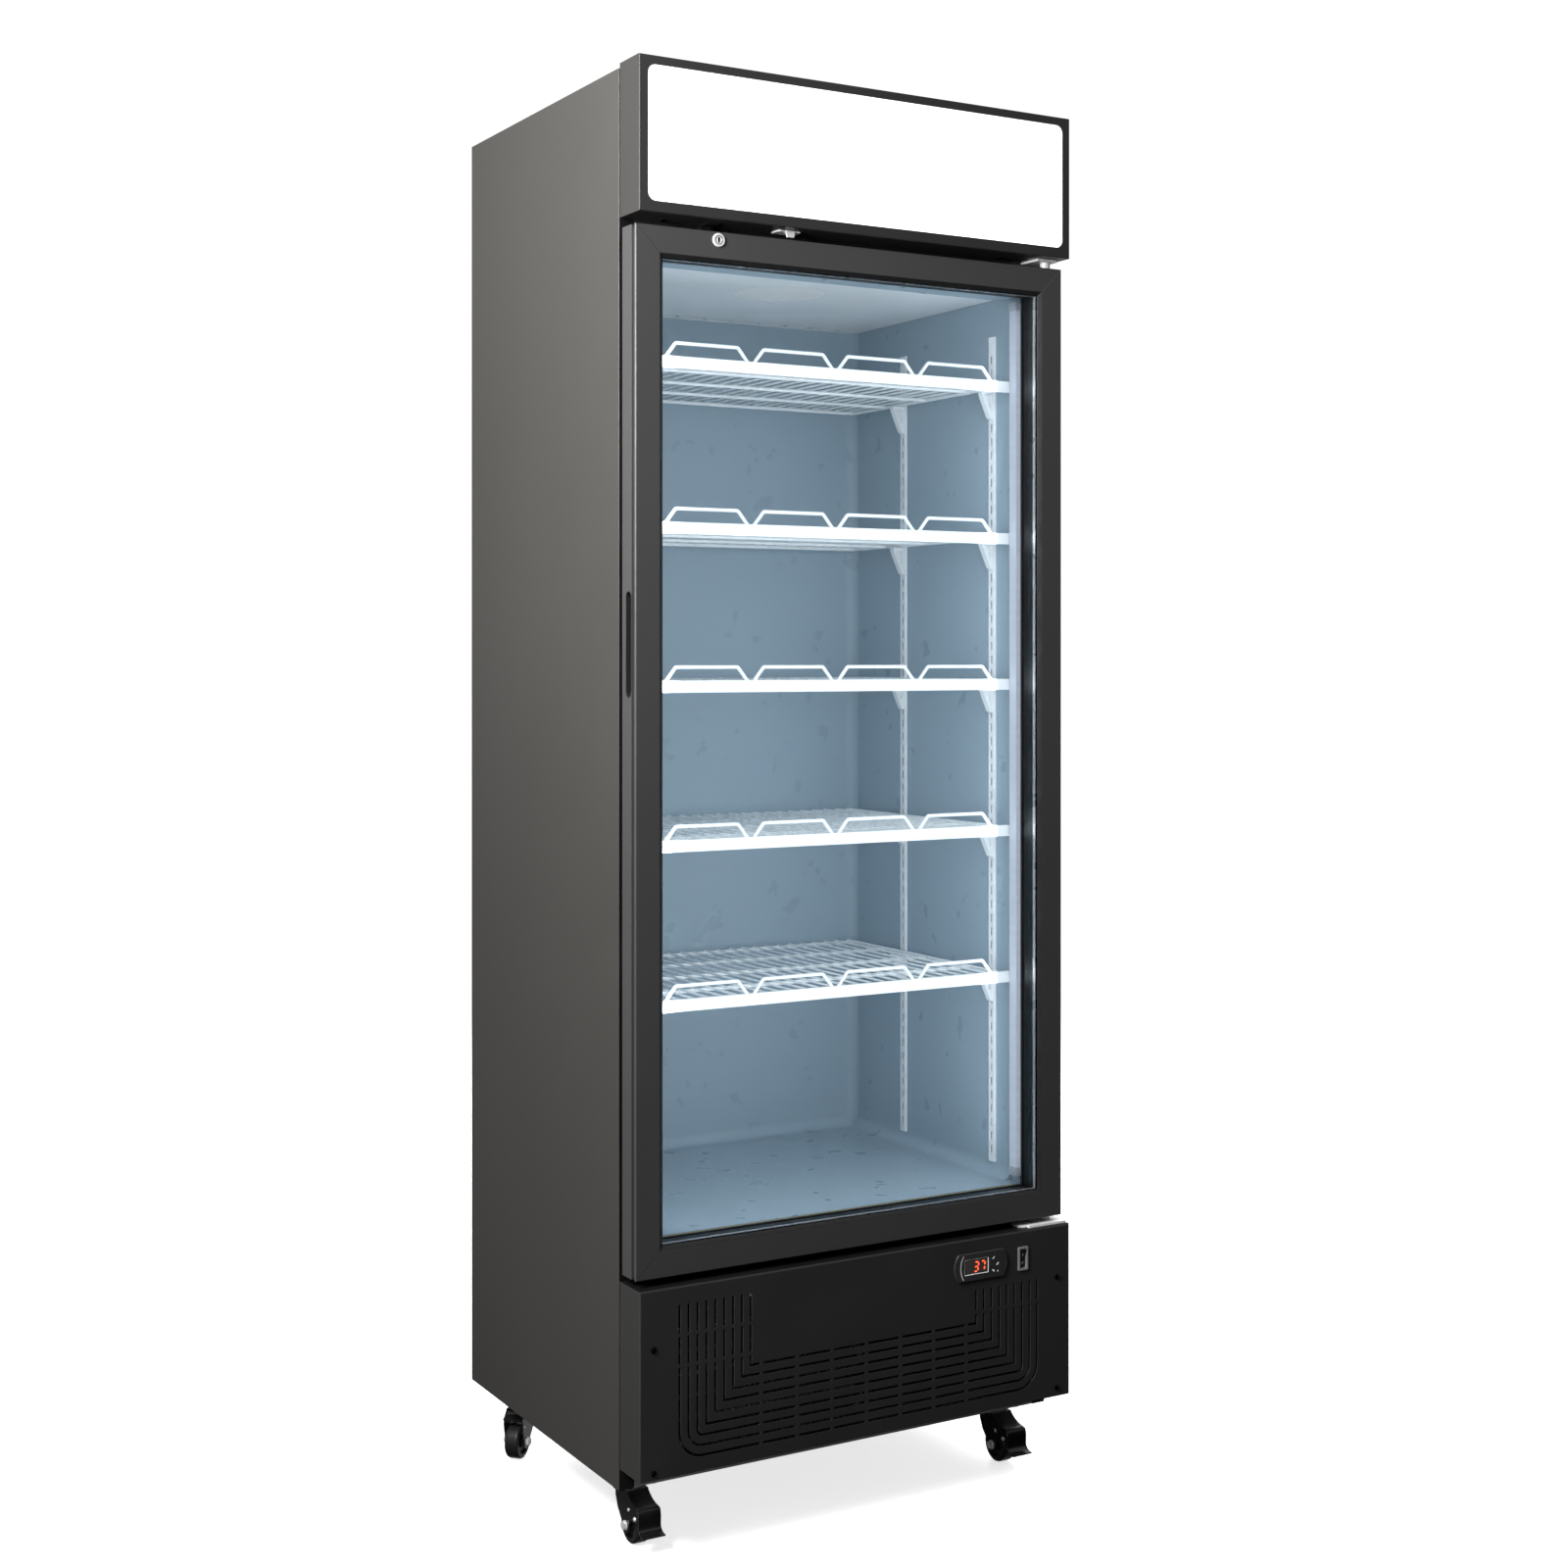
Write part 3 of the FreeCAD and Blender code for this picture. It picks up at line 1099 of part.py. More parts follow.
def placed(shape, caster):
    """Caster piece moved from its own frame, kingpin at the origin, to its corner."""
    name, x, y, angle, braked = caster
    shape.rotate(Vector(0, 0, 0), Vector(0, 0, 1), angle)
    shape.translate(Vector(x, y, 0))
    return shape


def caster_plate():
    """Top plate with its bearing race, kingpin and four bolts."""
    plate = box((-31, 31), (-31, 31), (CASTER_TOP - 2.5, CASTER_TOP))
    plate = plate.makeFillet(6, [edge for edge in plate.Edges if edge.Length < 3])
    race = cone(21, 25, (0, 0, CROWN[1] + 0.5), (0, 0, CASTER_TOP - 2.5))
    kingpin = cylinder(KINGPIN_RADIUS, (0, 0, CROWN[0] - 4), (0, 0, CROWN[1] + 1))
    head = cylinder(8, (0, 0, CROWN[0] - 4.5), (0, 0, CROWN[0] - 0.5))
    bolts = [hexagon_rod(8, (x, y, CASTER_TOP - 6.5), (x, y, CASTER_TOP - 2.4))
             for x in (-24, 24) for y in (-24, 24)]
    return fuse([plate, race, kingpin, head] + bolts)


def caster_plates():
    """The four fixed plates, bolted square to the chassis."""
    plates = []
    for name, x, y, angle, braked in CASTERS:
        plate = caster_plate()
        plate.translate(Vector(x, y, 0))
        plates.append(plate)
    return Part.makeCompound(plates)


def fork_leg(x, braked):
    """Stamped side leg of the fork, waisted above the axle and rounded below it."""
    outline = [(-14, 69.5), (10, 69.5), (10, 57), (3, 42), (-8, 29), (-11, 18), (-20, 14.5),
               (-29, 18), (-30, 28)]
    if braked:
        outline += [(-34, 36), (-44, 36.5), (-54, 38), (-55.5, 45), (-54, 53), (-50, 56.8),
                    (-38, 60.4), (-27, 68)]
    else:
        outline += [(-33, 40), (-35, 52), (-34, 61), (-27, 68)]
    leg = prism([(x, y, z) for y, z in outline], (LEG_SHEET, 0, 0))
    inner = [edge for edge in leg.Edges
             if abs(edge.tangentAt(edge.FirstParameter).x) > 0.9
             and edge.CenterOfMass.z < 56]
    return leg.makeFillet(2.2, inner)


def fork_skirt(tip_y, tip_z):
    """Curved apron that sweeps from the crown's front edge out to its tip."""
    start_y, start_z = -25.0, 71.0
    run, drop = start_y - tip_y, start_z - tip_z
    radius = (run ** 2 + drop ** 2) / (2 * drop)
    centre = Vector(-CROWN_HALF, tip_y, tip_z + radius)
    steepest = math.asin(run / radius)

    def at(distance, turn):
        return centre + Vector(0, math.sin(turn) * distance, -math.cos(turn) * distance)

    outer = radius + LEG_SHEET
    edges = [Part.Arc(at(radius, steepest), at(radius, steepest / 2), at(radius, 0)).toShape(),
             Part.makeLine(at(radius, 0), at(outer, 0)),
             Part.Arc(at(outer, 0), at(outer, steepest / 2), at(outer, steepest)).toShape(),
             Part.makeLine(at(outer, steepest), at(radius, steepest))]
    return Part.Face(Part.Wire(edges)).extrude(Vector(2 * CROWN_HALF, 0, 0))


def caster_fork(braked):
    """Swivel fork with its axle bolt, nut and rivets."""
    crown = fuse([cylinder(22, (0, 0, CROWN[0]), (0, 0, CROWN[1])),
                  box((-CROWN_HALF, CROWN_HALF), (-26, 10), CROWN)])
    legs = [fork_leg(LEG_INNER, braked), fork_leg(-LEG_INNER - LEG_SHEET, braked)]
    skirt = fork_skirt(-57.0, 57.5) if braked else fork_skirt(-37.0, 60.0)
    body = fuse([crown, skirt] + legs)
    outside = LEG_INNER + LEG_SHEET
    centre = (-CASTER_TRAIL, WHEEL_RADIUS)
    holes = [cylinder(KINGPIN_RADIUS + RUNNING_CLEARANCE, (0, 0, CROWN[0] - 1),
                      (0, 0, CROWN[1] + 1)),
             cylinder(AXLE_RADIUS, (-outside - 1,) + centre, (outside + 1,) + centre)]
    if braked:
        pedal = (PEDAL_Y, PEDAL_Z)
        holes.append(cylinder(PEDAL_PIN + RUNNING_CLEARANCE, (-outside - 1,) + pedal,
                              (outside + 1,) + pedal))
    body = cut(body, holes)
    rivets = []
    for side in (-1, 1):
        rivets.append(cone(3.0, 1.6, (side * (outside - 0.5), -30, 48.7),
                           (side * (outside + 1.3), -30, 48.7)))
    body = fuse([body] + rivets)
    bolt = fuse([cylinder(AXLE_RADIUS, (-outside - 3,) + centre, (outside + 3,) + centre),
                 cylinder(6.6, (-outside - 1,) + centre, (-outside,) + centre),
                 cylinder(6.6, (outside,) + centre, (outside + 1,) + centre),
                 hexagon_rod(10, (-outside - 4.5,) + centre, (-outside - 1,) + centre),
                 hexagon_rod(10, (outside + 1,) + centre, (outside + 4.5,) + centre)])
    return Part.makeCompound([body, bolt])


def caster_wheel():
    """Moulded wheel with a rounded tread and a dished web."""
    half = WHEEL_WIDTH / 2
    centre = (-CASTER_TRAIL, WHEEL_RADIUS)
    rim = cylinder(WHEEL_RADIUS, (-half,) + centre, (half,) + centre)
    rim = rim.makeFillet(3.5, [edge for edge in rim.Edges if len(edge.Vertexes) == 1])
    tools = [cylinder(AXLE_RADIUS + RUNNING_CLEARANCE, (-half - 1,) + centre, (half + 1,) + centre)]
    for side in (-1, 1):
        dish = cylinder(18, (side * (half + 1),) + centre, (side * (half - 3.5),) + centre)
        hub = cylinder(9, (side * (half + 1),) + centre, (side * (half - 3.5),) + centre)
        tools.append(dish.cut(hub))
    return cut(rim, tools)


def brake_pedal():
    """Pressed pedal with a flared toe, turning on a rivet between the fork's legs."""
    left = -PEDAL_HALF
    front = [(-58.2, 56.5), (-60.6, 52), (-61.6, 46), (-61.4, 39), (-61.6, 33), (-64.5, 28.4),
             (-69.5, 26), (-75, 25.6)]
    back = [(-75, 23.6), (-69, 24), (-63, 26.4), (-59.6, 32), (-59.3, 39), (-59.5, 45.8),
            (-58.7, 51), (-57.2, 54.8)]
    curves = []
    for line in (front, back):
        curve = Part.BSplineCurve()
        curve.interpolate([Vector(left, y, z) for y, z in line])
        curves.append(curve.toShape())
    toe = Part.makeLine(Vector(left, *front[-1]), Vector(left, *back[0]))
    top = Part.makeLine(Vector(left, *back[-1]), Vector(left, *front[0]))
    shell = Part.Face(Part.Wire([curves[0], toe, curves[1], top]))
    shell = shell.extrude(Vector(2 * PEDAL_HALF, 0, 0))
    cheeks = [prism([(x, -60, 53), (x, -57.2, 50), (x, -56.3, 45), (x, -57, 38), (x, -60.5, 31),
                     (x, -61, 36), (x, -60.6, 45)], (1.2, 0, 0))
              for x in (-PEDAL_HALF, PEDAL_HALF - 1.2)]
    ears = [prism([(x, -60, 52), (x, -52, 49), (x, -44.5, 46), (x, -44.5, 39), (x, -51, 37),
                   (x, -60.5, 34)], (1.6, 0, 0)) for x in (-12.4, 10.8)]
    shoe = box((-6, 6), (-60.5, -48), (30, 35))
    rivet = cylinder(PEDAL_PIN, (-16.6, PEDAL_Y, PEDAL_Z), (16.6, PEDAL_Y, PEDAL_Z))
    heads = [cone(3.4, 2.2, (side * 15.8, PEDAL_Y, PEDAL_Z), (side * 17.4, PEDAL_Y, PEDAL_Z))
             for side in (-1, 1)]
    return fuse([shell, rivet, shoe] + cheeks + ears + heads)


# ---- export ---------------------------------------------------------------------------
def nodes():
    """Every sub-part by its name."""
    parts = {
        "side_panel_left": side_panel(-1),
        "side_panel_right": side_panel(1),
        "top_panel": top_panel(),
        "rear_panel": rear_panel(),
        "front_frame": front_frame(),
        "inner_liner": inner_liner(),
        "foam_insulation": foam_insulation(),
        "base_frame": base_frame(),
        "grille_panel": grille_panel(),
        "panel_screws": panel_screws(),
        "thermostat_housing": thermostat_housing(),
        "rocker_housing": rocker_housing(),
        "rocker": rocker(),
        "canopy_housing": canopy_housing(),
        "light_panel": light_panel(),
        "led_strips": led_strips(),
        "door_frame": door_frame(),
        "handle_pocket": handle_pocket(),
        "glazing_bead": glazing_bead(),
        "glass_outer": glass_pane(GLASS_FRONT),
        "glass_inner": glass_pane(GLASS_FRONT + GLASS + GLASS_GAP),
        "glass_spacer": glass_spacer(),
        "door_gasket": door_gasket(),
        "lock_barrel": lock_barrel(),
        "lock_plug": lock_plug(),
        "lock_catch": lock_catch(),
        "hinge_brackets": hinge_brackets(),
        "shelf_standards": shelf_standards(),
        "shelf_clips": shelf_clips(),
        "evaporator_fan": evaporator_fan(),
        "condenser_fan": condenser_fan(),
        "fan_motors": fan_motors(),
        "evaporator_coil": evaporator_coil(),
        "evaporator_cover": evaporator_cover(),
        "condenser_coil": condenser_coil(),
        "condenser_shroud": condenser_shroud(),
        "compressor": compressor(),
        "refrigerant_tubing": refrigerant_tubing(),
        "drain_pan": drain_pan(),
        "cord_gland": cord_gland(),
        "rear_spacers": rear_spacers(),
        "caster_plates": caster_plates(),
    }
    for name, x, z in BUTTONS:
        parts["button_" + name] = thermostat_button(x, z)
    for number, level in enumerate(SHELF_LEVELS, start=1):
        parts["shelf_%d" % number] = wire_shelf(level)
    for caster in CASTERS:
        name, braked = caster[0], caster[4]
        parts["caster_fork_" + name] = placed(caster_fork(braked), caster)
        parts["caster_wheel_" + name] = placed(caster_wheel(), caster)
        if braked:
            parts["brake_pedal_" + name] = placed(brake_pedal(), caster)
    return parts


def main():
    os.makedirs("parts", exist_ok=True)
    for name, shape in nodes().items():
        shape.exportStep("parts/%s.step" % name)
        print(name, "solids", len(shape.Solids), "valid", shape.isValid())


main()
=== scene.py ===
import json
import math

import bmesh
import bpy
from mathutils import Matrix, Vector


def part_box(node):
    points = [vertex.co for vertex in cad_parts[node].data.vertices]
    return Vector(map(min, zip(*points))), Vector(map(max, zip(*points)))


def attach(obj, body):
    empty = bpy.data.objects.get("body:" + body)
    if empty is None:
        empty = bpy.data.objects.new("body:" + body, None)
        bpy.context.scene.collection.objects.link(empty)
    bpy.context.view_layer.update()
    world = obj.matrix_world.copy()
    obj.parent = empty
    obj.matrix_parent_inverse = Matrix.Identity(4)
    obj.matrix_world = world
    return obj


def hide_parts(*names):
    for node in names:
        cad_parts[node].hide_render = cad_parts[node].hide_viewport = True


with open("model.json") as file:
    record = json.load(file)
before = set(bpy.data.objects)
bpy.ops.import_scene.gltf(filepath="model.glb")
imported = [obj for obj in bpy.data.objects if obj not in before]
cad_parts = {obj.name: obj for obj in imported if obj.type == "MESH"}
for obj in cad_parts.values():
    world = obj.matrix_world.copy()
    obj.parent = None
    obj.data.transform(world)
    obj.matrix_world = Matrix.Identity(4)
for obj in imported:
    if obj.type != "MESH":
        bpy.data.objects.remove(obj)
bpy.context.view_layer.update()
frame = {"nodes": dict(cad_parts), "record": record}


# ---- materials ------------------------------------------------------------------------
class Graph:
    """A node tree that is built by calls, each giving back the socket it ends in."""

    def __init__(self, tree, point):
        self.nodes = tree.nodes
        self.links = tree.links
        self.point = self.add("ShaderNodeTexCoord").outputs[point]

    def add(self, kind, inputs=None, **properties):
        node = self.nodes.new(kind)
        for key, value in properties.items():
            setattr(node, key, value)
        for key, value in (inputs or {}).items():
            self.plug(node.inputs[key], value)
        return node

    def plug(self, socket, value):
        if isinstance(value, bpy.types.NodeSocket):
            self.links.new(value, socket)
        elif isinstance(value, tuple) and len(value) == 3 and socket.type == "RGBA":
            socket.default_value = (*value, 1.0)
        else:
            socket.default_value = value

    def math(self, operation, a, b=0.0):
        return self.add("ShaderNodeMath", {0: a, 1: b}, operation=operation).outputs[0]

    def span(self, value, low, high, to_low=0.0, to_high=1.0):
        return self.add("ShaderNodeMapRange", {
            "Value": value, "From Min": low, "From Max": high,
            "To Min": to_low, "To Max": to_high}).outputs[0]

    def axis(self, letter):
        return self.add("ShaderNodeSeparateXYZ", {0: self.point}).outputs[letter]


class Finish(Graph):
    """A procedural material built around one Principled shader, in the frame's metres."""

    def __init__(self, name, colour, roughness, metallic=0.0, specular=0.5):
        self.material = bpy.data.materials.new(name)
        self.material.use_nodes = True
        super().__init__(self.material.node_tree, "Object")
        self.shader = self.nodes["Principled BSDF"]
        self.set("Metallic", metallic)
        self.set("Specular IOR Level", specular)
        self.colour = colour
        self.roughness = roughness
        self.normal = None

    def set(self, socket, value):
        self.shader.inputs[socket].default_value = value

    def noise(self, scale, detail=2.0, distortion=0.0):
        return self.add("ShaderNodeTexNoise", {
            "Vector": self.point, "Scale": scale, "Detail": detail,
            "Distortion": distortion}).outputs["Fac"]

    def cells(self, scale, output="Distance", feature="F1"):
        return self.add("ShaderNodeTexVoronoi", {"Vector": self.point, "Scale": scale},
                        feature=feature).outputs[output]

    def facing(self, letter):
        normal = self.add("ShaderNodeNewGeometry").outputs["Normal"]
        return self.add("ShaderNodeSeparateXYZ", {0: normal}).outputs[letter]

    def tint(self, factor, colour):
        mix = self.add("ShaderNodeMix", data_type="RGBA")
        self.plug(mix.inputs[0], factor)
        self.plug(mix.inputs[6], self.colour)
        self.plug(mix.inputs[7], colour)
        self.colour = mix.outputs[2]

    def edges(self, radius):
        """Rounds the shading over sharp edges and returns a mask that is 1 on them."""
        self.normal = self.add("ShaderNodeBevel", {"Radius": radius}, samples=4).outputs[0]
        flat = self.add("ShaderNodeNewGeometry").outputs["Normal"]
        dot = self.add("ShaderNodeVectorMath", {0: self.normal, 1: flat},
                       operation="DOT_PRODUCT").outputs["Value"]
        return self.span(dot, 0.99, 0.8)

    def relief(self, height, distance, strength=1.0):
        inputs = {"Height": height, "Distance": distance, "Strength": strength}
        if self.normal:
            inputs["Normal"] = self.normal
        self.normal = self.add("ShaderNodeBump", inputs).outputs[0]

    def finish(self):
        self.plug(self.shader.inputs["Base Color"], self.colour)
        self.plug(self.shader.inputs["Roughness"], self.roughness)
        if self.normal:
            self.plug(self.shader.inputs["Normal"], self.normal)
        return self.material


# Places on the object where a finish or a painted shade changes, in metres.
LOCK_X, LOCK_Z = -0.222, 1.718
PLUG_GAP = (0.0047, 0.0062)
KEYWAY_HALF = (0.0014, 0.0036)
KEEPER_RIGHT, KEEPER_FOOT = -0.18, 1.7
# DOOR_RETURNS: the door's opening, whose inner return walls are painted near-black as shade.
DOOR_RETURNS = (("X", -0.3065, 0.3005), ("Z", 0.4095, 1.6935))
JAMB_BAR = (0.4365, 1.6735)
HEADER_FLOOR = 1.7
HEADER_BARS = (1.808, 1.888)
HEADER_BAR_HALF = 0.2995
LED_RIPPLE = 420.0
FORK_HALF = 0.01566
FORK_BOLTS_TOP = 0.062
PEDAL_EARS = -0.0545


def darker(colour, share):
    return tuple(channel * share for channel in colour)


def paint(name, colour, roughness, specular=0.5, front=None, top=None, opening=()):
    """Satin powder coat: orange peel, faint cloudiness, worn patches and a painted highlight along
    the edges, and optional painted shade on front faces, top faces and inside an opening.
    """
    f = Finish(name, colour, roughness, specular=specular)
    f.tint(f.span(f.noise(2.2, 3.0), 0.3, 0.7, 0.0, 0.5), darker(colour, 0.86))
    f.tint(f.span(f.noise(900.0, 1.0), 0.45, 0.75, 0.0, 0.25), darker(colour, 1.35))
    edge_mask = f.edges(0.0009)
    patches = f.span(f.noise(60.0, 4.0), 0.52, 0.7)
    f.tint(f.math("MULTIPLY", f.math("MULTIPLY", edge_mask, patches), 0.5), (0.16, 0.16, 0.16))
    # Painted highlight: every edge is lightened, standing in for light caught on it; the tint
    # above is real wear showing primer.
    f.tint(f.math("MULTIPLY", edge_mask, 0.25), darker(colour, 2.2))
    # Painted shade: forward-facing faces take the darker front colour; the lighter base colour on
    # the sides stands in for the key light falling on them.
    if front:
        f.tint(f.span(f.facing("Y"), -0.6, -0.95), front)
    # Painted shade: upward-facing faces take a near-black top colour.
    if top:
        f.tint(f.span(f.facing("Z"), 0.5, 0.95), top)
    # Painted shade: faces inside the opening are made near-black.
    if opening:
        inside = 1.0
        for letter, low, high in opening:
            along = f.axis(letter)
            inside = f.math("MULTIPLY", inside, f.math("GREATER_THAN", along, low))
            inside = f.math("MULTIPLY", inside, f.math("LESS_THAN", along, high))
        f.tint(inside, (0.005, 0.005, 0.005))
    smudge = f.span(f.noise(5.0, 5.0, distortion=1.2), 0.4, 0.7, -0.04, 0.06)
    grain = f.span(f.noise(420.0, 2.0), 0.3, 0.7, -0.03, 0.03)
    f.roughness = f.math("ADD", f.math("ADD", smudge, grain), roughness)
    f.relief(f.noise(650.0, 2.0), 0.00006, 0.5)
    return f.finish()


def moulded(name, colour, roughness, specular=0.5, grain=1400.0, depth=0.00004):
    """Injection-moulded plastic with a fine spark-eroded grain and a painted highlight along its
    edges.
    """
    f = Finish(name, colour, roughness, specular=specular)
    f.tint(f.span(f.noise(9.0, 3.0), 0.35, 0.7, 0.0, 0.5), darker(colour, 0.82))
    edge_mask = f.edges(0.0006)
    # Painted highlight: every edge is lightened.
    f.tint(f.math("MULTIPLY", edge_mask, 0.3), tuple(min(1.0, c * 1.8 + 0.01) for c in colour))
    f.roughness = f.math("ADD", f.span(f.noise(40.0, 4.0), 0.35, 0.7, -0.06, 0.06), roughness)
    f.relief(f.noise(grain, 2.0), depth, 0.6)
    return f.finish()


def blackened_steel():
    """Blackened screw steel with fine ground scratches and a little tarnish."""
    colour = (0.012, 0.012, 0.012)
    roughness = 0.22
    f = Finish("black_screw", colour, roughness, metallic=1.0)
    lines = f.noise(900.0, 4.0)
    f.tint(f.span(lines, 0.35, 0.7, 0.0, 0.35), darker(colour, 0.7))
    f.tint(f.span(f.noise(22.0, 4.0), 0.55, 0.8, 0.0, 0.25), darker(colour, 0.45))
    f.edges(0.0005)
    f.roughness = f.math("ADD", f.span(lines, 0.3, 0.7, -0.06, 0.09), roughness)
    f.relief(lines, 0.00003, 0.5)
    return f.finish()


def zinc_plate():
    """Bright zinc plate; the keeper behind the lock is tinted near-black."""
    colour = (0.90, 0.90, 0.91)
    f = Finish("zinc_plate", colour, 0.3, metallic=0.1)
    lines = f.noise(300.0, 4.0)
    f.tint(f.span(lines, 0.35, 0.7, 0.0, 0.25), darker(colour, 0.8))
    keeper = f.math("MULTIPLY", f.math("LESS_THAN", f.axis("X"), KEEPER_RIGHT),
                    f.math("GREATER_THAN", f.axis("Z"), KEEPER_FOOT))
    f.tint(keeper, (0.012, 0.012, 0.013))
    f.edges(0.0005)
    f.roughness = f.math("ADD", f.span(lines, 0.3, 0.7, -0.06, 0.09), 0.3)
    f.relief(lines, 0.00003, 0.5)
    return f.finish()


def lock_chrome():
    """Satin chrome over the lock's barrel and plug, with painted shade in the gap between them and
    in the keyway.
    """
    colour = (0.93, 0.93, 0.94)
    f = Finish("lock_chrome", colour, 0.22, metallic=0.45)
    across = f.math("SUBTRACT", f.axis("X"), LOCK_X)
    up = f.math("SUBTRACT", f.axis("Z"), LOCK_Z)
    radius = f.math("SQRT", f.math("ADD", f.math("MULTIPLY", across, across),
                                   f.math("MULTIPLY", up, up)))
    gap = f.math("MULTIPLY", f.math("GREATER_THAN", radius, PLUG_GAP[0]),
                 f.math("LESS_THAN", radius, PLUG_GAP[1]))
    keyway = f.math("MULTIPLY", f.math("LESS_THAN", f.math("ABSOLUTE", across), KEYWAY_HALF[0]),
                    f.math("LESS_THAN", f.math("ABSOLUTE", up), KEYWAY_HALF[1]))
    swirl = f.noise(700.0, 4.0)
    f.tint(f.span(swirl, 0.35, 0.7, 0.0, 0.3), darker(colour, 0.75))
    # Painted shade: the gap between barrel and plug and the keyway are darkened.
    f.tint(f.math("MULTIPLY", gap, 0.75), (0.05, 0.05, 0.052))
    f.tint(keyway, (0.006, 0.006, 0.006))
    f.edges(0.0004)
    f.roughness = f.math("ADD", f.span(swirl, 0.3, 0.7, -0.05, 0.08), 0.22)
    f.relief(swirl, 0.00002, 0.5)
    return f.finish()


def galvanised():
    """Hot-dipped zinc: crystal spangle with a soft white bloom."""
    colour = (0.62, 0.63, 0.645)
    f = Finish("zinc_spangle", colour, 0.4, metallic=0.65)
    crystal = f.cells(85.0, output="Color")
    shade = f.add("ShaderNodeSeparateColor", {0: crystal}).outputs[0]
    f.tint(f.span(shade, 0.0, 1.0, 0.0, 0.5), darker(colour, 0.72))
    f.tint(f.span(f.noise(11.0, 4.0), 0.5, 0.75, 0.0, 0.35), (0.78, 0.79, 0.8))
    f.edges(0.0005)
    f.roughness = f.span(shade, 0.0, 1.0, 0.36, 0.48)
    f.relief(f.cells(85.0, feature="DISTANCE_TO_EDGE"), 0.00003, 0.4)
    return f.finish()


def liner():
    """White food-side skin, lightly stuccoed, coloured a dark blue-grey: painted cool LED light
    and painted shade.
    """
    # Painted light and shade: the white skin is coloured blue as if by the cool LEDs, and
    # darkened.
    colour = (0.32, 0.40, 0.465)
    f = Finish("liner_skin", colour, 0.32)
    f.tint(f.span(f.noise(3.0, 3.0), 0.35, 0.7, 0.0, 0.5), (0.285, 0.365, 0.43))
    f.tint(f.span(f.noise(26.0, 5.0), 0.5, 0.8, 0.0, 0.05), (0.30, 0.34, 0.36))
    f.roughness = f.span(f.noise(30.0, 3.0), 0.3, 0.7, 0.26, 0.4)
    f.relief(f.noise(260.0, 2.0), 0.00008, 0.35)
    return f.finish()


def white_coat(name, colour, roughness):
    """Thick glossy white powder coat on wire and brackets."""
    f = Finish(name, colour, roughness)
    f.tint(f.span(f.noise(18.0, 4.0), 0.45, 0.75, 0.0, 0.35), darker(colour, 0.86))
    edge_mask = f.edges(0.0005)
    chipped = f.span(f.noise(120.0, 3.0), 0.66, 0.72)
    f.tint(f.math("MULTIPLY", f.math("MULTIPLY", edge_mask, chipped), 0.5), (0.35, 0.36, 0.37))
    f.roughness = f.span(f.noise(50.0, 3.0), 0.3, 0.7, roughness - 0.05, roughness + 0.08)
    f.relief(f.noise(380.0, 2.0), 0.00007, 0.5)
    return f.finish()


def foam():
    """Sawn rigid foam: open cells in a straw-coloured block."""
    colour = (0.72, 0.62, 0.36)
    f = Finish("foam_cells", colour, 0.85, specular=0.2)
    cell = f.cells(700.0)
    f.tint(f.span(cell, 0.2, 0.7, 0.0, 0.7), darker(colour, 0.7))
    f.roughness = f.span(cell, 0.1, 0.8, 0.75, 0.95)
    f.relief(cell, 0.0003, 0.8)
    return f.finish()


def led_bar():
    """Frosted lit tube between opaque end caps, on the jambs and inside the header."""
    colour = (0.44, 0.46, 0.52)
    f = Finish("led_diffuser", colour, 0.45)
    f.tint(f.span(f.noise(60.0, 3.0), 0.4, 0.7, 0.0, 0.4), darker(colour, 0.88))
    f.roughness = f.span(f.noise(90.0, 2.0), 0.3, 0.7, 0.38, 0.55)
    x, z = f.axis("X"), f.axis("Z")
    jamb_foot, jamb_head = JAMB_BAR
    on_jamb = f.math("MULTIPLY", f.math("GREATER_THAN", z, jamb_foot),
                     f.math("LESS_THAN", z, jamb_head))
    in_header = f.math("MULTIPLY", f.math("GREATER_THAN", z, HEADER_FLOOR),
                       f.math("LESS_THAN", f.math("ABSOLUTE", x), HEADER_BAR_HALF))
    lit = f.math("MAXIMUM", on_jamb, in_header)
    dots = f.span(f.math("SINE", f.math("MULTIPLY", z, LED_RIPPLE)), -1.0, 1.0, 0.82, 1.0)
    f.set("Emission Color", (0.70, 0.80, 1.0, 1.0))
    f.plug(f.shader.inputs["Emission Strength"],
           f.math("MULTIPLY", f.math("MULTIPLY", lit, dots), 0.2))
    return f.finish()


def sign():
    """Opal panel lit from behind by the two bars in the header."""
    colour = (0.9, 0.9, 0.9)
    f = Finish("opal_panel", colour, 0.3)
    f.tint(f.span(f.noise(30.0, 3.0), 0.4, 0.7, 0.0, 0.4), darker(colour, 0.94))
    f.roughness = f.span(f.noise(80.0, 2.0), 0.3, 0.7, 0.24, 0.36)
    z = f.axis("Z")
    near = [f.span(f.math("ABSOLUTE", f.math("SUBTRACT", z, bar)), 0.0, 0.09, 1.0, 0.8)
            for bar in HEADER_BARS]
    glow = f.math("MAXIMUM", *near)
    f.set("Emission Color", (1.0, 1.0, 1.0, 1.0))
    f.plug(f.shader.inputs["Emission Strength"], f.math("MULTIPLY", glow, 1.5))
    return f.finish()


def glass():
    """Clear float glass with faint wiping haze."""
    f = Finish("float_glass", (0.985, 0.997, 0.992), 0.0)
    f.set("Transmission Weight", 1.0)
    f.set("IOR", 1.45)
    f.tint(f.span(f.noise(4.0, 3.0), 0.4, 0.7, 0.0, 1.0), (0.975, 0.992, 0.988))
    f.roughness = f.span(f.noise(7.0, 5.0, distortion=1.5), 0.62, 0.8, 0.0, 0.035)
    return f.finish()


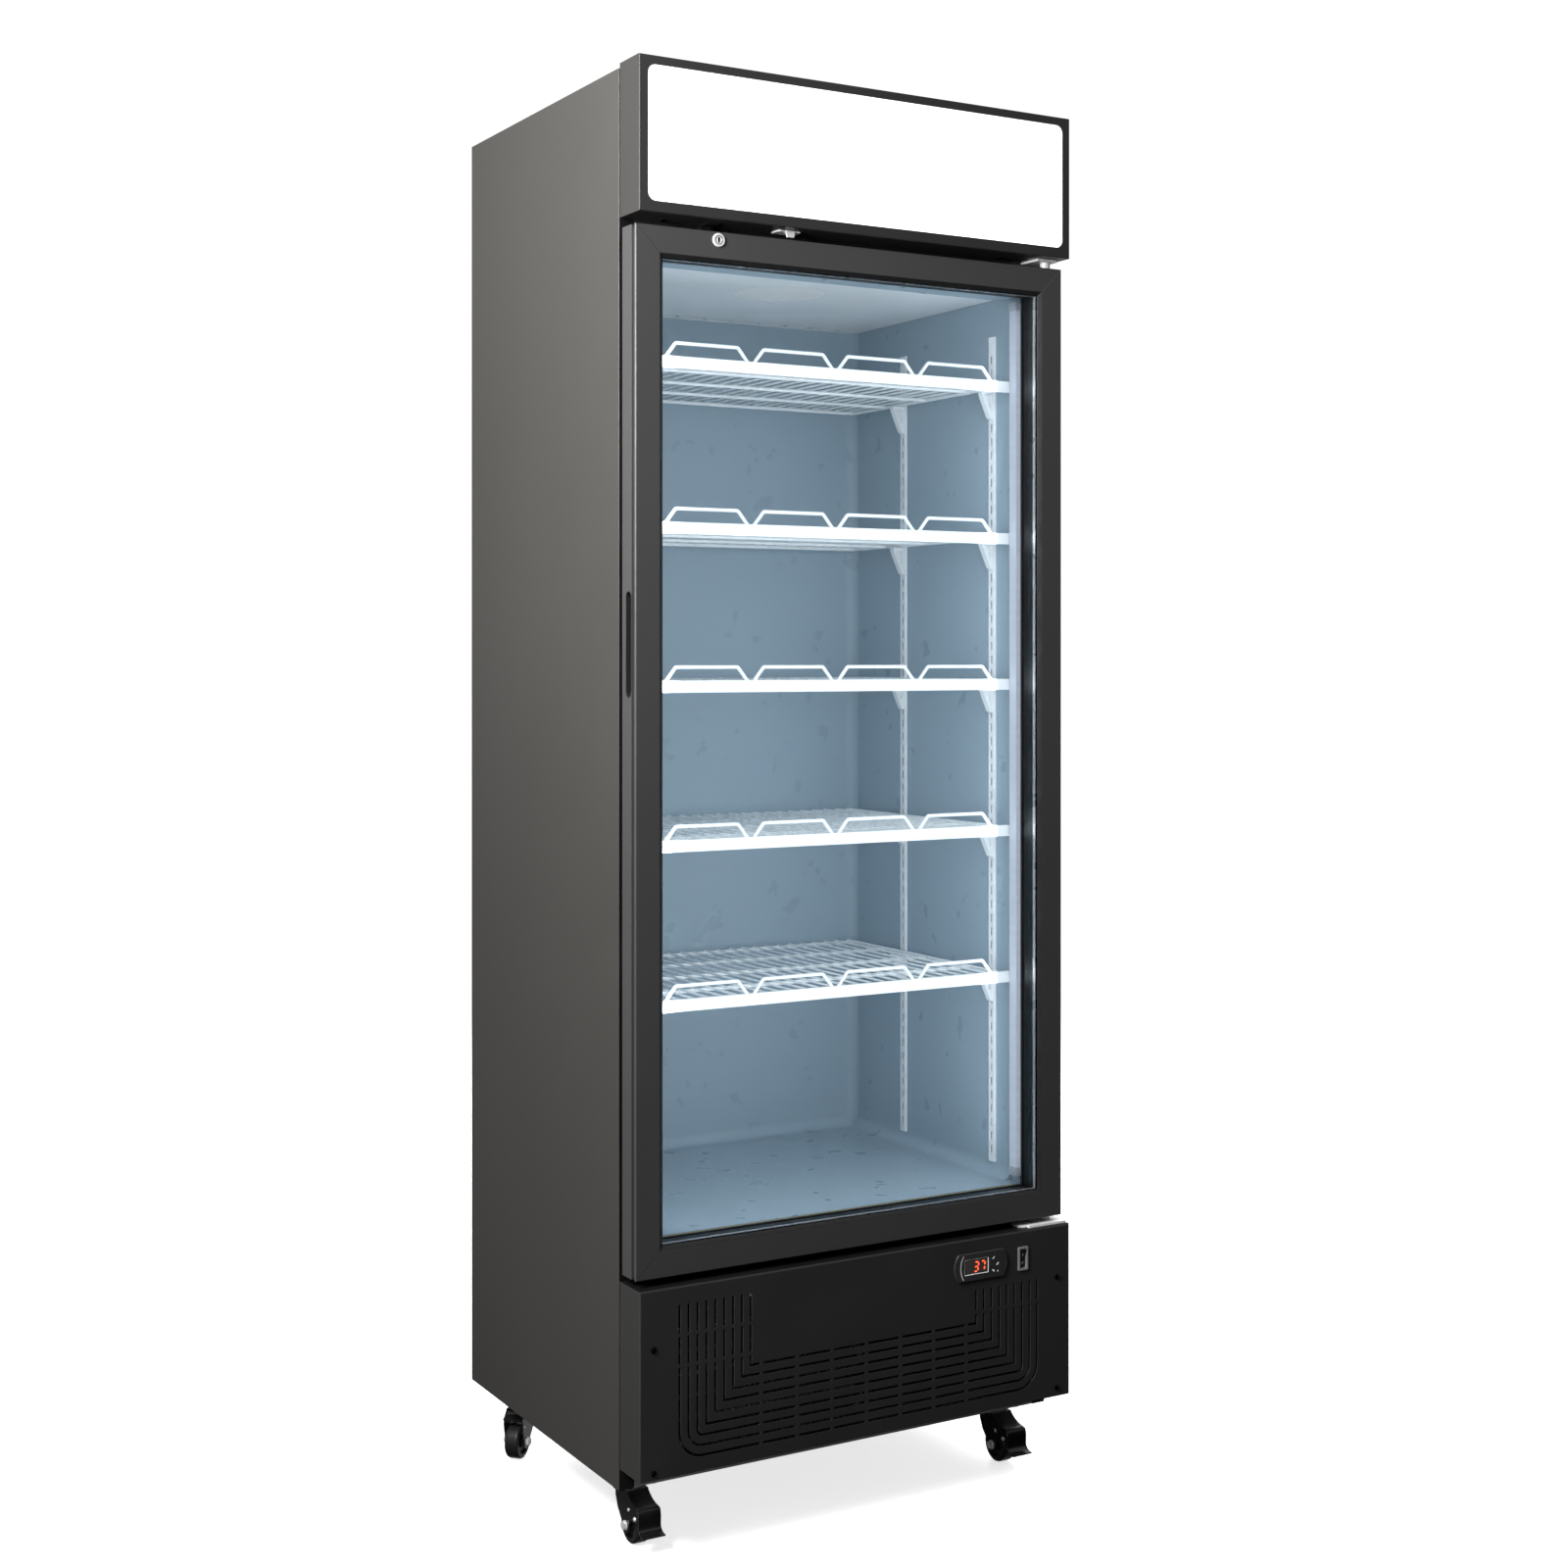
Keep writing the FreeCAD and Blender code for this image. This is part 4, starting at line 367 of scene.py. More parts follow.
def spacer():
    """Desiccant spacer bar: anodised, its breather holes painted dark as shade."""
    colour = (0.9, 0.9, 0.91)
    f = Finish("spacer_bar", colour, 0.28, metallic=0.5)
    hole = f.span(f.cells(330.0), 0.12, 0.2, 1.0, 0.0)
    # Painted shade: the holes are darkened.
    f.tint(f.math("MULTIPLY", hole, 0.7), (0.05, 0.05, 0.05))
    f.tint(f.span(f.noise(240.0, 3.0), 0.4, 0.7, 0.0, 0.4), darker(colour, 0.75))
    f.roughness = f.span(f.noise(60.0, 3.0), 0.3, 0.7, 0.25, 0.42)
    f.relief(hole, 0.0002, -0.6)
    return f.finish()


def rubber(name, colour, roughness):
    """Soft moulded rubber, dusty in its hollows."""
    f = Finish(name, colour, roughness, specular=0.35)
    f.tint(f.span(f.noise(16.0, 4.0), 0.45, 0.7, 0.0, 0.6), tuple(c * 1.5 + 0.012 for c in colour))
    f.roughness = f.span(f.noise(70.0, 4.0), 0.3, 0.7, roughness - 0.1, roughness + 0.1)
    f.relief(f.noise(900.0, 3.0), 0.00008, 0.7)
    return f.finish()


def caster(name, place, pedal=False):
    """Gloss black stamping with bright zinc bolts and rivets outside its legs, and a painted
    highlight along its edges.
    """
    colour = (0.010, 0.010, 0.011)
    f = Finish(name, colour, 0.16, specular=0.8)
    f.tint(f.span(f.noise(40.0, 4.0), 0.4, 0.7, 0.0, 0.5), darker(colour, 0.6))
    edge_mask = f.edges(0.0007)
    # Painted highlight: every edge is lightened towards grey.
    f.tint(f.math("MULTIPLY", edge_mask, 0.35), (0.22, 0.22, 0.23))
    x, y, turn = place
    local = f.add("ShaderNodeMapping", {"Vector": f.point, "Location": (x, y, 0.0),
                                        "Rotation": (0.0, 0.0, turn)}, vector_type="TEXTURE")
    apart = f.add("ShaderNodeSeparateXYZ", {0: local.outputs[0]}).outputs
    bright = f.math("GREATER_THAN", f.math("ABSOLUTE", apart["X"]), FORK_HALF)
    if pedal:
        bright = f.math("MULTIPLY", bright, f.math("GREATER_THAN", apart["Y"], PEDAL_EARS))
    else:
        bright = f.math("MULTIPLY", bright, f.math("LESS_THAN", apart["Z"], FORK_BOLTS_TOP))
    f.tint(bright, (0.85, 0.86, 0.87))
    f.plug(f.shader.inputs["Metallic"], f.math("MULTIPLY", bright, 0.3))
    uneven = f.span(f.noise(150.0, 4.0), 0.3, 0.7, -0.04, 0.08)
    f.roughness = f.math("ADD", f.math("MULTIPLY", bright, 0.1), f.math("ADD", uneven, 0.16))
    f.relief(f.noise(300.0, 3.0), 0.00008, 0.5)
    return f.finish()


def fins():
    """Rolled aluminium fin stock with grime between the fins."""
    colour = (0.72, 0.73, 0.74)
    f = Finish("fin_stock", colour, 0.35, metallic=1.0)
    f.tint(f.span(f.noise(35.0, 4.0), 0.45, 0.75, 0.0, 0.55), (0.42, 0.41, 0.39))
    f.tint(f.span(f.noise(600.0, 2.0), 0.4, 0.7, 0.0, 0.3), darker(colour, 0.7))
    f.roughness = f.span(f.noise(120.0, 3.0), 0.3, 0.7, 0.28, 0.5)
    f.relief(f.noise(450.0, 2.0), 0.0001, 0.5)
    return f.finish()


def copper():
    """Drawn copper tube, darkened near the brazed joints."""
    colour = (0.83, 0.42, 0.26)
    f = Finish("drawn_copper", colour, 0.28, metallic=1.0)
    f.tint(f.span(f.noise(14.0, 5.0), 0.42, 0.7, 0.0, 0.8), (0.36, 0.17, 0.1))
    f.tint(f.span(f.noise(180.0, 4.0), 0.6, 0.75, 0.0, 0.4), (0.2, 0.12, 0.1))
    f.roughness = f.span(f.noise(45.0, 4.0), 0.3, 0.7, 0.2, 0.45)
    f.relief(f.noise(800.0, 2.0), 0.00004, 0.5)
    return f.finish()


def glowing(name, colour, strength, unlit):
    """Glowing marking: saturated glow with slightly uneven brightness. The digits and the lamp are
    lit; on the keys' printed marks the glow is painted light.
    """
    f = Finish(name, unlit, 0.35)
    f.tint(f.noise(300.0, 2.0), darker(unlit, 0.6))
    f.roughness = f.span(f.noise(500.0, 2.0), 0.3, 0.7, 0.3, 0.42)
    f.set("Emission Color", (*colour, 1.0))
    f.plug(f.shader.inputs["Emission Strength"],
           f.span(f.noise(900.0, 2.0), 0.3, 0.7, strength * 0.8, strength))
    return f.finish()


FINISHES = {
    # Painted shade: painted_side's near-black front colour darkens the front flange in the gap
    # round the door; the front and top colours of painted_front and painted_door are painted shade
    # too.
    "painted_side": paint("satin_charcoal", (0.056, 0.054, 0.050), 0.42,
                          front=(0.004, 0.004, 0.004)),
    "painted_front": paint("satin_black_front", (0.040, 0.039, 0.038), 0.44, 0.35,
                           front=(0.022, 0.022, 0.022), top=(0.007, 0.007, 0.007)),
    "painted_door": paint("satin_black_door", (0.062, 0.062, 0.061), 0.42, 0.35,
                          front=(0.043, 0.043, 0.043), top=(0.007, 0.007, 0.007),
                          opening=DOOR_RETURNS),
    "galvanised": galvanised(),
    "plated": lock_chrome(),
    "white_liner": liner(),
    "white_plastic": moulded("white_moulding", (0.82, 0.84, 0.86), 0.35, depth=0.00003),
    "white_wire": white_coat("white_powder_coat", (0.84, 0.86, 0.88), 0.26),
    "foam": foam(),
    "led": led_bar(),
    "sign": sign(),
    "black_plastic": moulded("black_moulding", (0.014, 0.014, 0.015), 0.42, 0.4),
    "gasket_rubber": rubber("gasket_vinyl", (0.012, 0.012, 0.013), 0.55),
    "glass": glass(),
    "spacer_aluminium": spacer(),
    "aluminium": fins(),
    "copper": copper(),
    "compressor_black": paint("compressor_enamel", (0.012, 0.012, 0.012), 0.25, 0.5),
    "button_black": moulded("key_rubber", (0.02, 0.02, 0.02), 0.5, 0.3),
    "wheel_black": rubber("wheel_tread", (0.016, 0.016, 0.017), 0.36),
    "screw_black": blackened_steel(),
}
BRIGHT_ZINC = zinc_plate()
NODE_FINISHES = {
    "hinge_brackets": BRIGHT_ZINC,
    "lock_catch": BRIGHT_ZINC,
    "caster_plates": BRIGHT_ZINC,
    # Painted highlight: the switch frame's mid-grey stands in for light on its edges.
    "rocker_housing": moulded("grey_switch_frame", (0.24, 0.24, 0.24), 0.32),
    "thermostat_housing": moulded("bezel_black", (0.032, 0.032, 0.033), 0.3, 0.5, grain=300.0,
                                  depth=0.00001),
    # Painted shade: the condenser fan and shroud are made near-black so the grille's slots read
    # dark.
    "condenser_fan": moulded("fan_blade_black", (0.012, 0.012, 0.013), 0.4),
    "condenser_shroud": paint("shroud_black", (0.008, 0.008, 0.008), 0.5, 0.3),
}


def caster_place(fork):
    """Kingpin position and turn of a caster, from its swivel and its wheel's axle."""
    corner = fork.replace("caster_fork_", "").replace("brake_pedal_", "")
    joints = {joint["name"]: joint for joint in frame["record"]["behaviour"]["joints"]}
    x, y = joints["swivel_" + corner]["pos_m"][:2]
    axle = joints["roll_" + corner]["axis"]
    return x, y, math.atan2(axle[1], axle[0])


def finish_of(name, slot):
    """The finish of a CAD node: a caster's own, one set by name, or its slot's."""
    if name.startswith(("caster_fork_", "brake_pedal_")):
        return caster("black_zinc_" + name, caster_place(name), name.startswith("brake_pedal_"))
    return NODE_FINISHES.get(name) or FINISHES[slot]


for part in frame["record"]["subparts"]:
    coats = frame["nodes"][part["node"]].data.materials
    coats.clear()
    coats.append(finish_of(part["node"], part["material_slot"]))


# ---- mesh helpers ---------------------------------------------------------------------
def piece(name, bm, material, body):
    """Adds a finished mesh as a piece that rides on a body."""
    bmesh.ops.recalc_face_normals(bm, faces=bm.faces)
    mesh = bpy.data.meshes.new(name)
    bm.to_mesh(mesh)
    bm.free()
    mesh.materials.append(material)
    obj = bpy.data.objects.new(name, mesh)
    bpy.context.scene.collection.objects.link(obj)
    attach(obj, body)
    return obj


def solid(bm, near, far):
    """Closed solid between two outlines with the same number of points."""
    near = [bm.verts.new(point) for point in near]
    far = [bm.verts.new(point) for point in far]
    bm.faces.new(near)
    bm.faces.new(list(reversed(far)))
    for i in range(len(near)):
        j = (i + 1) % len(near)
        bm.faces.new((near[j], near[i], far[i], far[j]))


def plate(bm, outline, y, depth):
    """Closed flat plate from an outline of (x, z), its face at y, depth towards +Y."""
    solid(bm, [(px, y, pz) for px, pz in outline], [(px, y + depth, pz) for px, pz in outline])


def arc(cx, cz, radius, start, end, steps):
    return [(cx + radius * math.cos(math.radians(start + (end - start) * i / steps)),
             cz + radius * math.sin(math.radians(start + (end - start) * i / steps)))
            for i in range(steps + 1)]


def sweep_ring(bm, corners, profile, inward):
    """Closed profile of (inset, y) carried round a rectangle with mitred corners."""
    rings = []
    for (cx, cz), (sx, sz) in zip(corners, inward):
        rings.append([bm.verts.new((cx + sx * inset, y, cz + sz * inset))
                      for inset, y in profile])
    count = len(profile)
    for ring, following in zip(rings, rings[1:] + rings[:1]):
        for i in range(count):
            j = (i + 1) % count
            bm.faces.new((ring[i], ring[j], following[j], following[i]))


# ---- thermostat and switch ------------------------------------------------------------
SEGMENTS = {"a": (0, 2, 1, 2), "b": (1, 1, 1, 2), "c": (1, 0, 1, 1), "d": (0, 0, 1, 0),
            "g": (0, 1, 1, 1)}
LIT = ((0, "abcdg"), (1, "abc"))
DIGITS_X, DIGITS_Z = 0.1743, 0.3183
DIGIT_PITCH = 0.0108
DIGIT_WIDTH = 0.0066
DIGIT_HALF = 0.0064
DIGIT_PROUD, DIGIT_DEPTH = 0.00025, 0.0002
STROKE = 0.0011
SLANT = 0.14
BEZEL_LEFT = 0.142
BEZEL_BOTTOM, BEZEL_TOP = 0.3056, 0.3440
BEZEL_BOW = 0.0065
RECESS = 0.0008
TRIM_LEFT, TRIM_RIGHT = 0.15825, 0.19875
TRIM_BOTTOM, TRIM_TOP = 0.31425, 0.33575
TRIM_WIDTH = 0.0009
CRESCENT_Z = (0.3082, 0.3414)
CRESCENT_INSETS = (0.00905, 0.01055)
CRESCENT_STEPS = 16
CRESCENT_SUNK, CRESCENT_DEPTH = 0.0001, 0.0006
LENS_PROUD, LENS_DEPTH = 0.00004, 0.00003
LAMP_X, LAMP_Z, LAMP_RADIUS = 0.2145, 0.3140, 0.0008
LAMP_SUNK, LAMP_DEPTH = 0.0001, 0.0003
MARK_PROUD, MARK_DEPTH = 0.00003, 0.0001
KEY_MARKS = {
    "up": ([(-0.0019, -0.0010), (0.0002, -0.0010), (0.0010, 0.0002), (-0.0008, 0.0004)],
           [(0.0006, 0.0006), (0.0018, 0.0006), (0.0018, 0.0020), (0.0006, 0.0018)]),
    "set": ([(-0.0021, -0.0016), (-0.0002, -0.0013), (0.0004, 0.0002), (-0.0016, 0.0002)],
            [(0.0002, 0.0002), (0.0019, 0.0004), (0.0022, 0.0018), (0.0003, 0.0019)]),
    "down": ([(-0.0019, 0.0004), (-0.0003, 0.0002), (0.0005, 0.0016), (-0.0013, 0.0019)],
             [(0.0002, -0.0018), (0.0016, -0.0016), (0.0018, -0.0002), (0.0005, -0.0002)]),
}


def lit_digits(y):
    """The two seven-segment digits of the readout."""
    bm = bmesh.new()
    for digit, lit in LIT:
        left = DIGITS_X + digit * DIGIT_PITCH
        for key in lit:
            x1, z1, x2, z2 = SEGMENTS[key]
            start = Vector((left + x1 * DIGIT_WIDTH, DIGITS_Z + z1 * DIGIT_HALF))
            end = Vector((left + x2 * DIGIT_WIDTH, DIGITS_Z + z2 * DIGIT_HALF))
            along = (end - start).normalized()
            across = Vector((-along.y, along.x)) * STROKE
            start += along * STROKE * 0.7
            end -= along * STROKE * 0.7
            tips = (start, start + along * STROKE + across, end - along * STROKE + across,
                    end, end - along * STROKE - across, start + along * STROKE - across)
            plate(bm, [(tip.x + (tip.y - DIGITS_Z) * SLANT, tip.y) for tip in tips],
                  y, DIGIT_DEPTH)
    return bm


def bezel_edge(inset, z):
    """X of a line that follows the bezel's bowed left end, inset from it."""
    middle = (BEZEL_BOTTOM + BEZEL_TOP) / 2
    reach = (BEZEL_TOP - BEZEL_BOTTOM) / 2
    radius = (BEZEL_BOW ** 2 + reach ** 2) / (2 * BEZEL_BOW)
    return BEZEL_LEFT + inset + radius - math.sqrt(radius ** 2 - (z - middle) ** 2)


def trims(face, recess):
    """Silver ring round the readout and silver crescent in the bezel's left groove."""
    bm = bmesh.new()
    sweep_ring(bm, [(TRIM_LEFT, TRIM_BOTTOM), (TRIM_RIGHT, TRIM_BOTTOM),
                    (TRIM_RIGHT, TRIM_TOP), (TRIM_LEFT, TRIM_TOP)],
               [(0, face + 0.00002), (0, recess - 0.00001), (0.0008, recess - 0.00001),
                (0.0005, face + 0.0002)],
               [(1, 1), (-1, 1), (-1, -1), (1, -1)])
    low, high = CRESCENT_Z
    heights = [low + (high - low) * i / CRESCENT_STEPS for i in range(CRESCENT_STEPS + 1)]
    outer, inner = [[(bezel_edge(inset, z), z) for z in heights] for inset in CRESCENT_INSETS]
    plate(bm, outer + inner[::-1], face + CRESCENT_SUNK, CRESCENT_DEPTH)
    return bm


def controls():
    """Readout, its silver trims, the keys' marks and the running lamp."""
    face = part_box("thermostat_housing")[0].y
    recess = face + RECESS
    red = glowing("red_segments", (1.0, 0.10, 0.03), 2.2, (0.3, 0.02, 0.01))
    piece("display_digits", lit_digits(recess - DIGIT_PROUD), red, "cabinet")

    silver = moulded("trim_silver", (0.86, 0.86, 0.87), 0.28, depth=0.00001)
    piece("display_trim", trims(face, recess), silver, "cabinet")

    smoke = moulded("smoked_lens", (0.06, 0.052, 0.052), 0.12, 0.5, grain=300.0, depth=0.00001)
    left, right = TRIM_LEFT + TRIM_WIDTH, TRIM_RIGHT - TRIM_WIDTH
    bottom, top = TRIM_BOTTOM + TRIM_WIDTH, TRIM_TOP - TRIM_WIDTH
    bm = bmesh.new()
    plate(bm, [(left, bottom), (right, bottom), (right, top), (left, top)],
          recess - LENS_PROUD, LENS_DEPTH)
    piece("display_lens", bm, smoke, "cabinet")

    # Painted glow: the keys' printed marks glow, though no lamp lights them.
    icon_glow = glowing("backlit_icon", (1.0, 1.0, 1.0), 0.55, (0.85, 0.85, 0.85))
    for key, shapes in KEY_MARKS.items():
        key_low, key_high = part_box("button_" + key)
        centre = (key_low + key_high) / 2
        bm = bmesh.new()
        for shape in shapes:
            plate(bm, [(centre.x + dx, centre.z + dz) for dx, dz in shape],
                  key_low.y - MARK_PROUD, MARK_DEPTH)
        piece("key_mark_" + key, bm, icon_glow, "button_" + key)

    bm = bmesh.new()
    plate(bm, arc(LAMP_X, LAMP_Z, LAMP_RADIUS, 0, 345, 23), face + LAMP_SUNK, LAMP_DEPTH)
    piece("thermostat_lamp", bm, glowing("lamp_white", (1.0, 0.95, 0.9), 0.8, (0.5, 0.5, 0.5)),
          "cabinet")


PIVOT_Y, PIVOT_Z = -0.293, 0.3245
PADDLE_TILT = math.radians(10.0)
PADDLE_FACE = 0.0030
PADDLE_SLOPE = 0.0014 / 0.0125
BAR_HALF, BAR_FOOT, BAR_HEAD = 0.0004, 0.0042, 0.0086
RING_RISE, RING_OUTER, RING_INNER = -0.0062, 0.0020, 0.0014
RING_STEPS = 24
PRINT_PROUD, PRINT_SUNK = 0.00006, 0.0001


def rocker_marks():
    """Bar and ring on the tilted paddle, for on and off."""
    low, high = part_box("rocker")
    pivot = Vector(((low.x + high.x) / 2, PIVOT_Y, PIVOT_Z))
    bm = bmesh.new()

    def on_paddle(px, rise, lift):
        """Point on the paddle's facet, at a height along it and lifted off it."""
        y = -PADDLE_FACE - abs(rise) * PADDLE_SLOPE - lift
        return (pivot.x + px,
                pivot.y + y * math.cos(PADDLE_TILT) - rise * math.sin(PADDLE_TILT),
                pivot.z + y * math.sin(PADDLE_TILT) + rise * math.cos(PADDLE_TILT))

    def mark(points):
        solid(bm, [on_paddle(px, rise, PRINT_PROUD) for px, rise in points],
              [on_paddle(px, rise, -PRINT_SUNK) for px, rise in points])

    mark([(-BAR_HALF, BAR_FOOT), (BAR_HALF, BAR_FOOT),
          (BAR_HALF, BAR_HEAD), (-BAR_HALF, BAR_HEAD)])
    outer = arc(0, RING_RISE, RING_OUTER, 0, 360, RING_STEPS)
    inner = arc(0, RING_RISE, RING_INNER, 0, 360, RING_STEPS)
    for i in range(RING_STEPS):
        mark([outer[i], outer[i + 1], inner[i + 1], inner[i]])
    bmesh.ops.remove_doubles(bm, verts=bm.verts, dist=1e-7)
    white = moulded("mark_white", (0.85, 0.85, 0.85), 0.4)
    piece("rocker_marks", bm, white, "rocker")


# ---- door seal ------------------------------------------------------------------------
GASKET_WIDTH = 0.016
# The seal's section as shares of its width and depth, from the door towards the cabinet.
GASKET_SECTION = ((0.0, 0.0), (1.0, 0.0), (1.0, 0.12), (0.82, 0.2), (0.70, 0.30), (0.86, 0.40),
                  (0.97, 0.48), (0.86, 0.56), (0.80, 0.62), (0.97, 0.70), (1.0, 0.80),
                  (1.0, 0.93), (0.93, 1.0), (0.07, 1.0), (0.0, 0.93), (0.0, 0.80),
                  (0.03, 0.70), (0.20, 0.62), (0.14, 0.56), (0.03, 0.48), (0.14, 0.40),
                  (0.30, 0.30), (0.18, 0.2), (0.0, 0.12))


def gasket():
    """Bellows seal with its magnet bulb, carried round the back of the door."""
    low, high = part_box("door_gasket")
    depth = high.y - low.y
    bm = bmesh.new()
    sweep_ring(bm, [(low.x, low.z), (high.x, low.z), (high.x, high.z), (low.x, high.z)],
               [(across * GASKET_WIDTH, low.y + share * depth)
                for across, share in GASKET_SECTION],
               [(1, 1), (-1, 1), (-1, -1), (1, -1)])
    seal = piece("gasket_bellows", bm, FINISHES["gasket_rubber"], "door")
    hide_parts("door_gasket")


# ---- louvres --------------------------------------------------------------------------
LOUVRE_ROWS = 12
LOUVRE_FIRST, LOUVRE_PITCH = 0.140, 0.016
LOUVRE_STARTS = (-0.242, 0.018)
LOUVRE_LENGTH = 0.224
HOOD_REACH = 0.0065
HOOD_DROP = 0.0135
HOOD_SKIN = 0.0008
HOOD_STEPS = 8
HOOD_GAP = 0.00005
PARTING = 0.00001


def louvre_hoods():
    """Pressed hoods over the back sheet's slots, open downwards."""
    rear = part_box("rear_panel")[1].y + HOOD_GAP
    bm = bmesh.new()

    def bar(section, x0, x1):
        """Closed bar along X from a section of (y, z)."""
        solid(bm, [(x0, y, z) for y, z in section], [(x1, y, z) for y, z in section])

    for row in range(LOUVRE_ROWS):
        top = LOUVRE_FIRST + LOUVRE_PITCH * row
        outer, inner = [], []
        for i in range(HOOD_STEPS + 1):
            turn = math.radians(90.0 * i / HOOD_STEPS)
            out, down = math.sin(turn), 1 - math.cos(turn)
            outer.append((rear + HOOD_REACH * out, top - HOOD_DROP * down))
            inner.append((rear + (HOOD_REACH - HOOD_SKIN) * out,
                          top - HOOD_SKIN - (HOOD_DROP - HOOD_SKIN) * down))
        cheek = outer + [(rear, top - HOOD_DROP)]
        for start in LOUVRE_STARTS:
            end = start + LOUVRE_LENGTH
            bar(outer + inner[::-1], start, end)
            bar(cheek, start - HOOD_SKIN, start - PARTING)
            bar(cheek, end + PARTING, end + HOOD_SKIN)
    piece("louvre_hoods", bm, FINISHES["galvanised"], "cabinet")


# ---- liner corners --------------------------------------------------------------------
LINER_SKIN = 0.001
COVE_TOP = 1.6975
COVE_FRONT = -0.212
COVE_RADIUS = 0.018
COVE_STEPS = 8
COVE_GAP = 0.00005


def liner_coves():
    """Rounded corners of the liner: two upright at the back, three round the floor."""
    low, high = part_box("inner_liner")
    side = high.x - LINER_SKIN
    rear = high.y - LINER_SKIN
    floor = low.z + LINER_SKIN
    bm = bmesh.new()

    def cove(corner, a, b, along, length):
        """Concave fillet in the corner between directions a and b."""
        corner, a, b, along = Vector(corner), Vector(a), Vector(b), Vector(along)
        ends = []
        for distance in (0.0, length):
            base = corner + along * distance
            centre = base + (a + b) * COVE_RADIUS
            ring = [base]
            for i in range(COVE_STEPS + 1):
                turn = math.radians(90.0 * i / COVE_STEPS)
                ring.append(centre - a * COVE_RADIUS * math.sin(turn)
                            - b * COVE_RADIUS * math.cos(turn))
            ends.append(ring)
        solid(bm, *ends)

    for sign in (-1, 1):
        wall = sign * (side - COVE_GAP)
        cove((wall, rear - COVE_GAP, floor), (-sign, 0, 0), (0, -1, 0), (0, 0, 1),
             COVE_TOP - floor)
        cove((wall, COVE_FRONT, floor + COVE_GAP), (-sign, 0, 0), (0, 0, 1), (0, 1, 0),
             rear - COVE_FRONT)
    cove((-side, rear - COVE_GAP, floor + COVE_GAP), (0, -1, 0), (0, 0, 1), (1, 0, 0), 2 * side)
    piece("liner_coves", bm, FINISHES["white_liner"], "cabinet")


# ---- stage, light and camera ----------------------------------------------------------
FLOOR_REACH = 60.0


def pale_floor():
    mesh = bpy.data.meshes.new("floor")
    mesh.from_pydata([(x * FLOOR_REACH, y * FLOOR_REACH, 0)
                      for x, y in ((-1, -1), (1, -1), (1, 1), (-1, 1))], [], [(0, 1, 2, 3)])
    floor = bpy.data.objects.new("floor", mesh)
    bpy.context.scene.collection.objects.link(floor)
    pale = Finish("pale_floor", (0.93, 0.93, 0.93), 0.6, specular=0.2)
    pale.set("Emission Color", (1.0, 1.0, 1.0, 1.0))
    pale.set("Emission Strength", 0.72)
    pale.tint(pale.span(pale.noise(1.5, 3.0), 0.3, 0.7, 0.0, 0.5), (0.91, 0.91, 0.912))
    mesh.materials.append(pale.finish())
    floor.visible_glossy = False
    floor.visible_diffuse = False
    floor.visible_transmission = False


def studio_world():
    """White backdrop that lights softly: dim low down, flagged in front, brighter behind."""
    world = bpy.data.worlds.new("studio")
    bpy.context.scene.world = world
    world.use_nodes = True
    sky = Graph(world.node_tree, "Generated")

    def toward(direction):
        return sky.add("ShaderNodeVectorMath", {0: sky.point, 1: direction},
                       operation="DOT_PRODUCT").outputs["Value"]

    soft = sky.span(sky.axis("Z"), -0.13, 0.6, 0.0, 0.36)
    flag = sky.span(toward((0.56, -0.83, 0.0)), 0.80, 0.97, 1.0, 0.12)
    behind = sky.span(toward((0.75, 0.66, 0.0)), 0.15, 0.95, 0.0, 0.5)
    light = sky.math("ADD", sky.math("MULTIPLY", soft, flag), behind)

    path = sky.add("ShaderNodeLightPath").outputs
    bounces = sky.math("ADD", path["Diffuse Depth"], path["Glossy Depth"])
    through_glass = sky.math("MULTIPLY", sky.math("LESS_THAN", bounces, 0.5),
                             path["Is Transmission Ray"])
    seen = sky.math("MAXIMUM", path["Is Camera Ray"], through_glass)
    strength = sky.add("ShaderNodeMix", {0: seen, 2: light, 3: 1.06}).outputs[0]
    background = sky.nodes["Background"]
    sky.plug(background.inputs["Strength"], strength)
    sky.plug(background.inputs["Color"], (1.0, 1.0, 1.0))


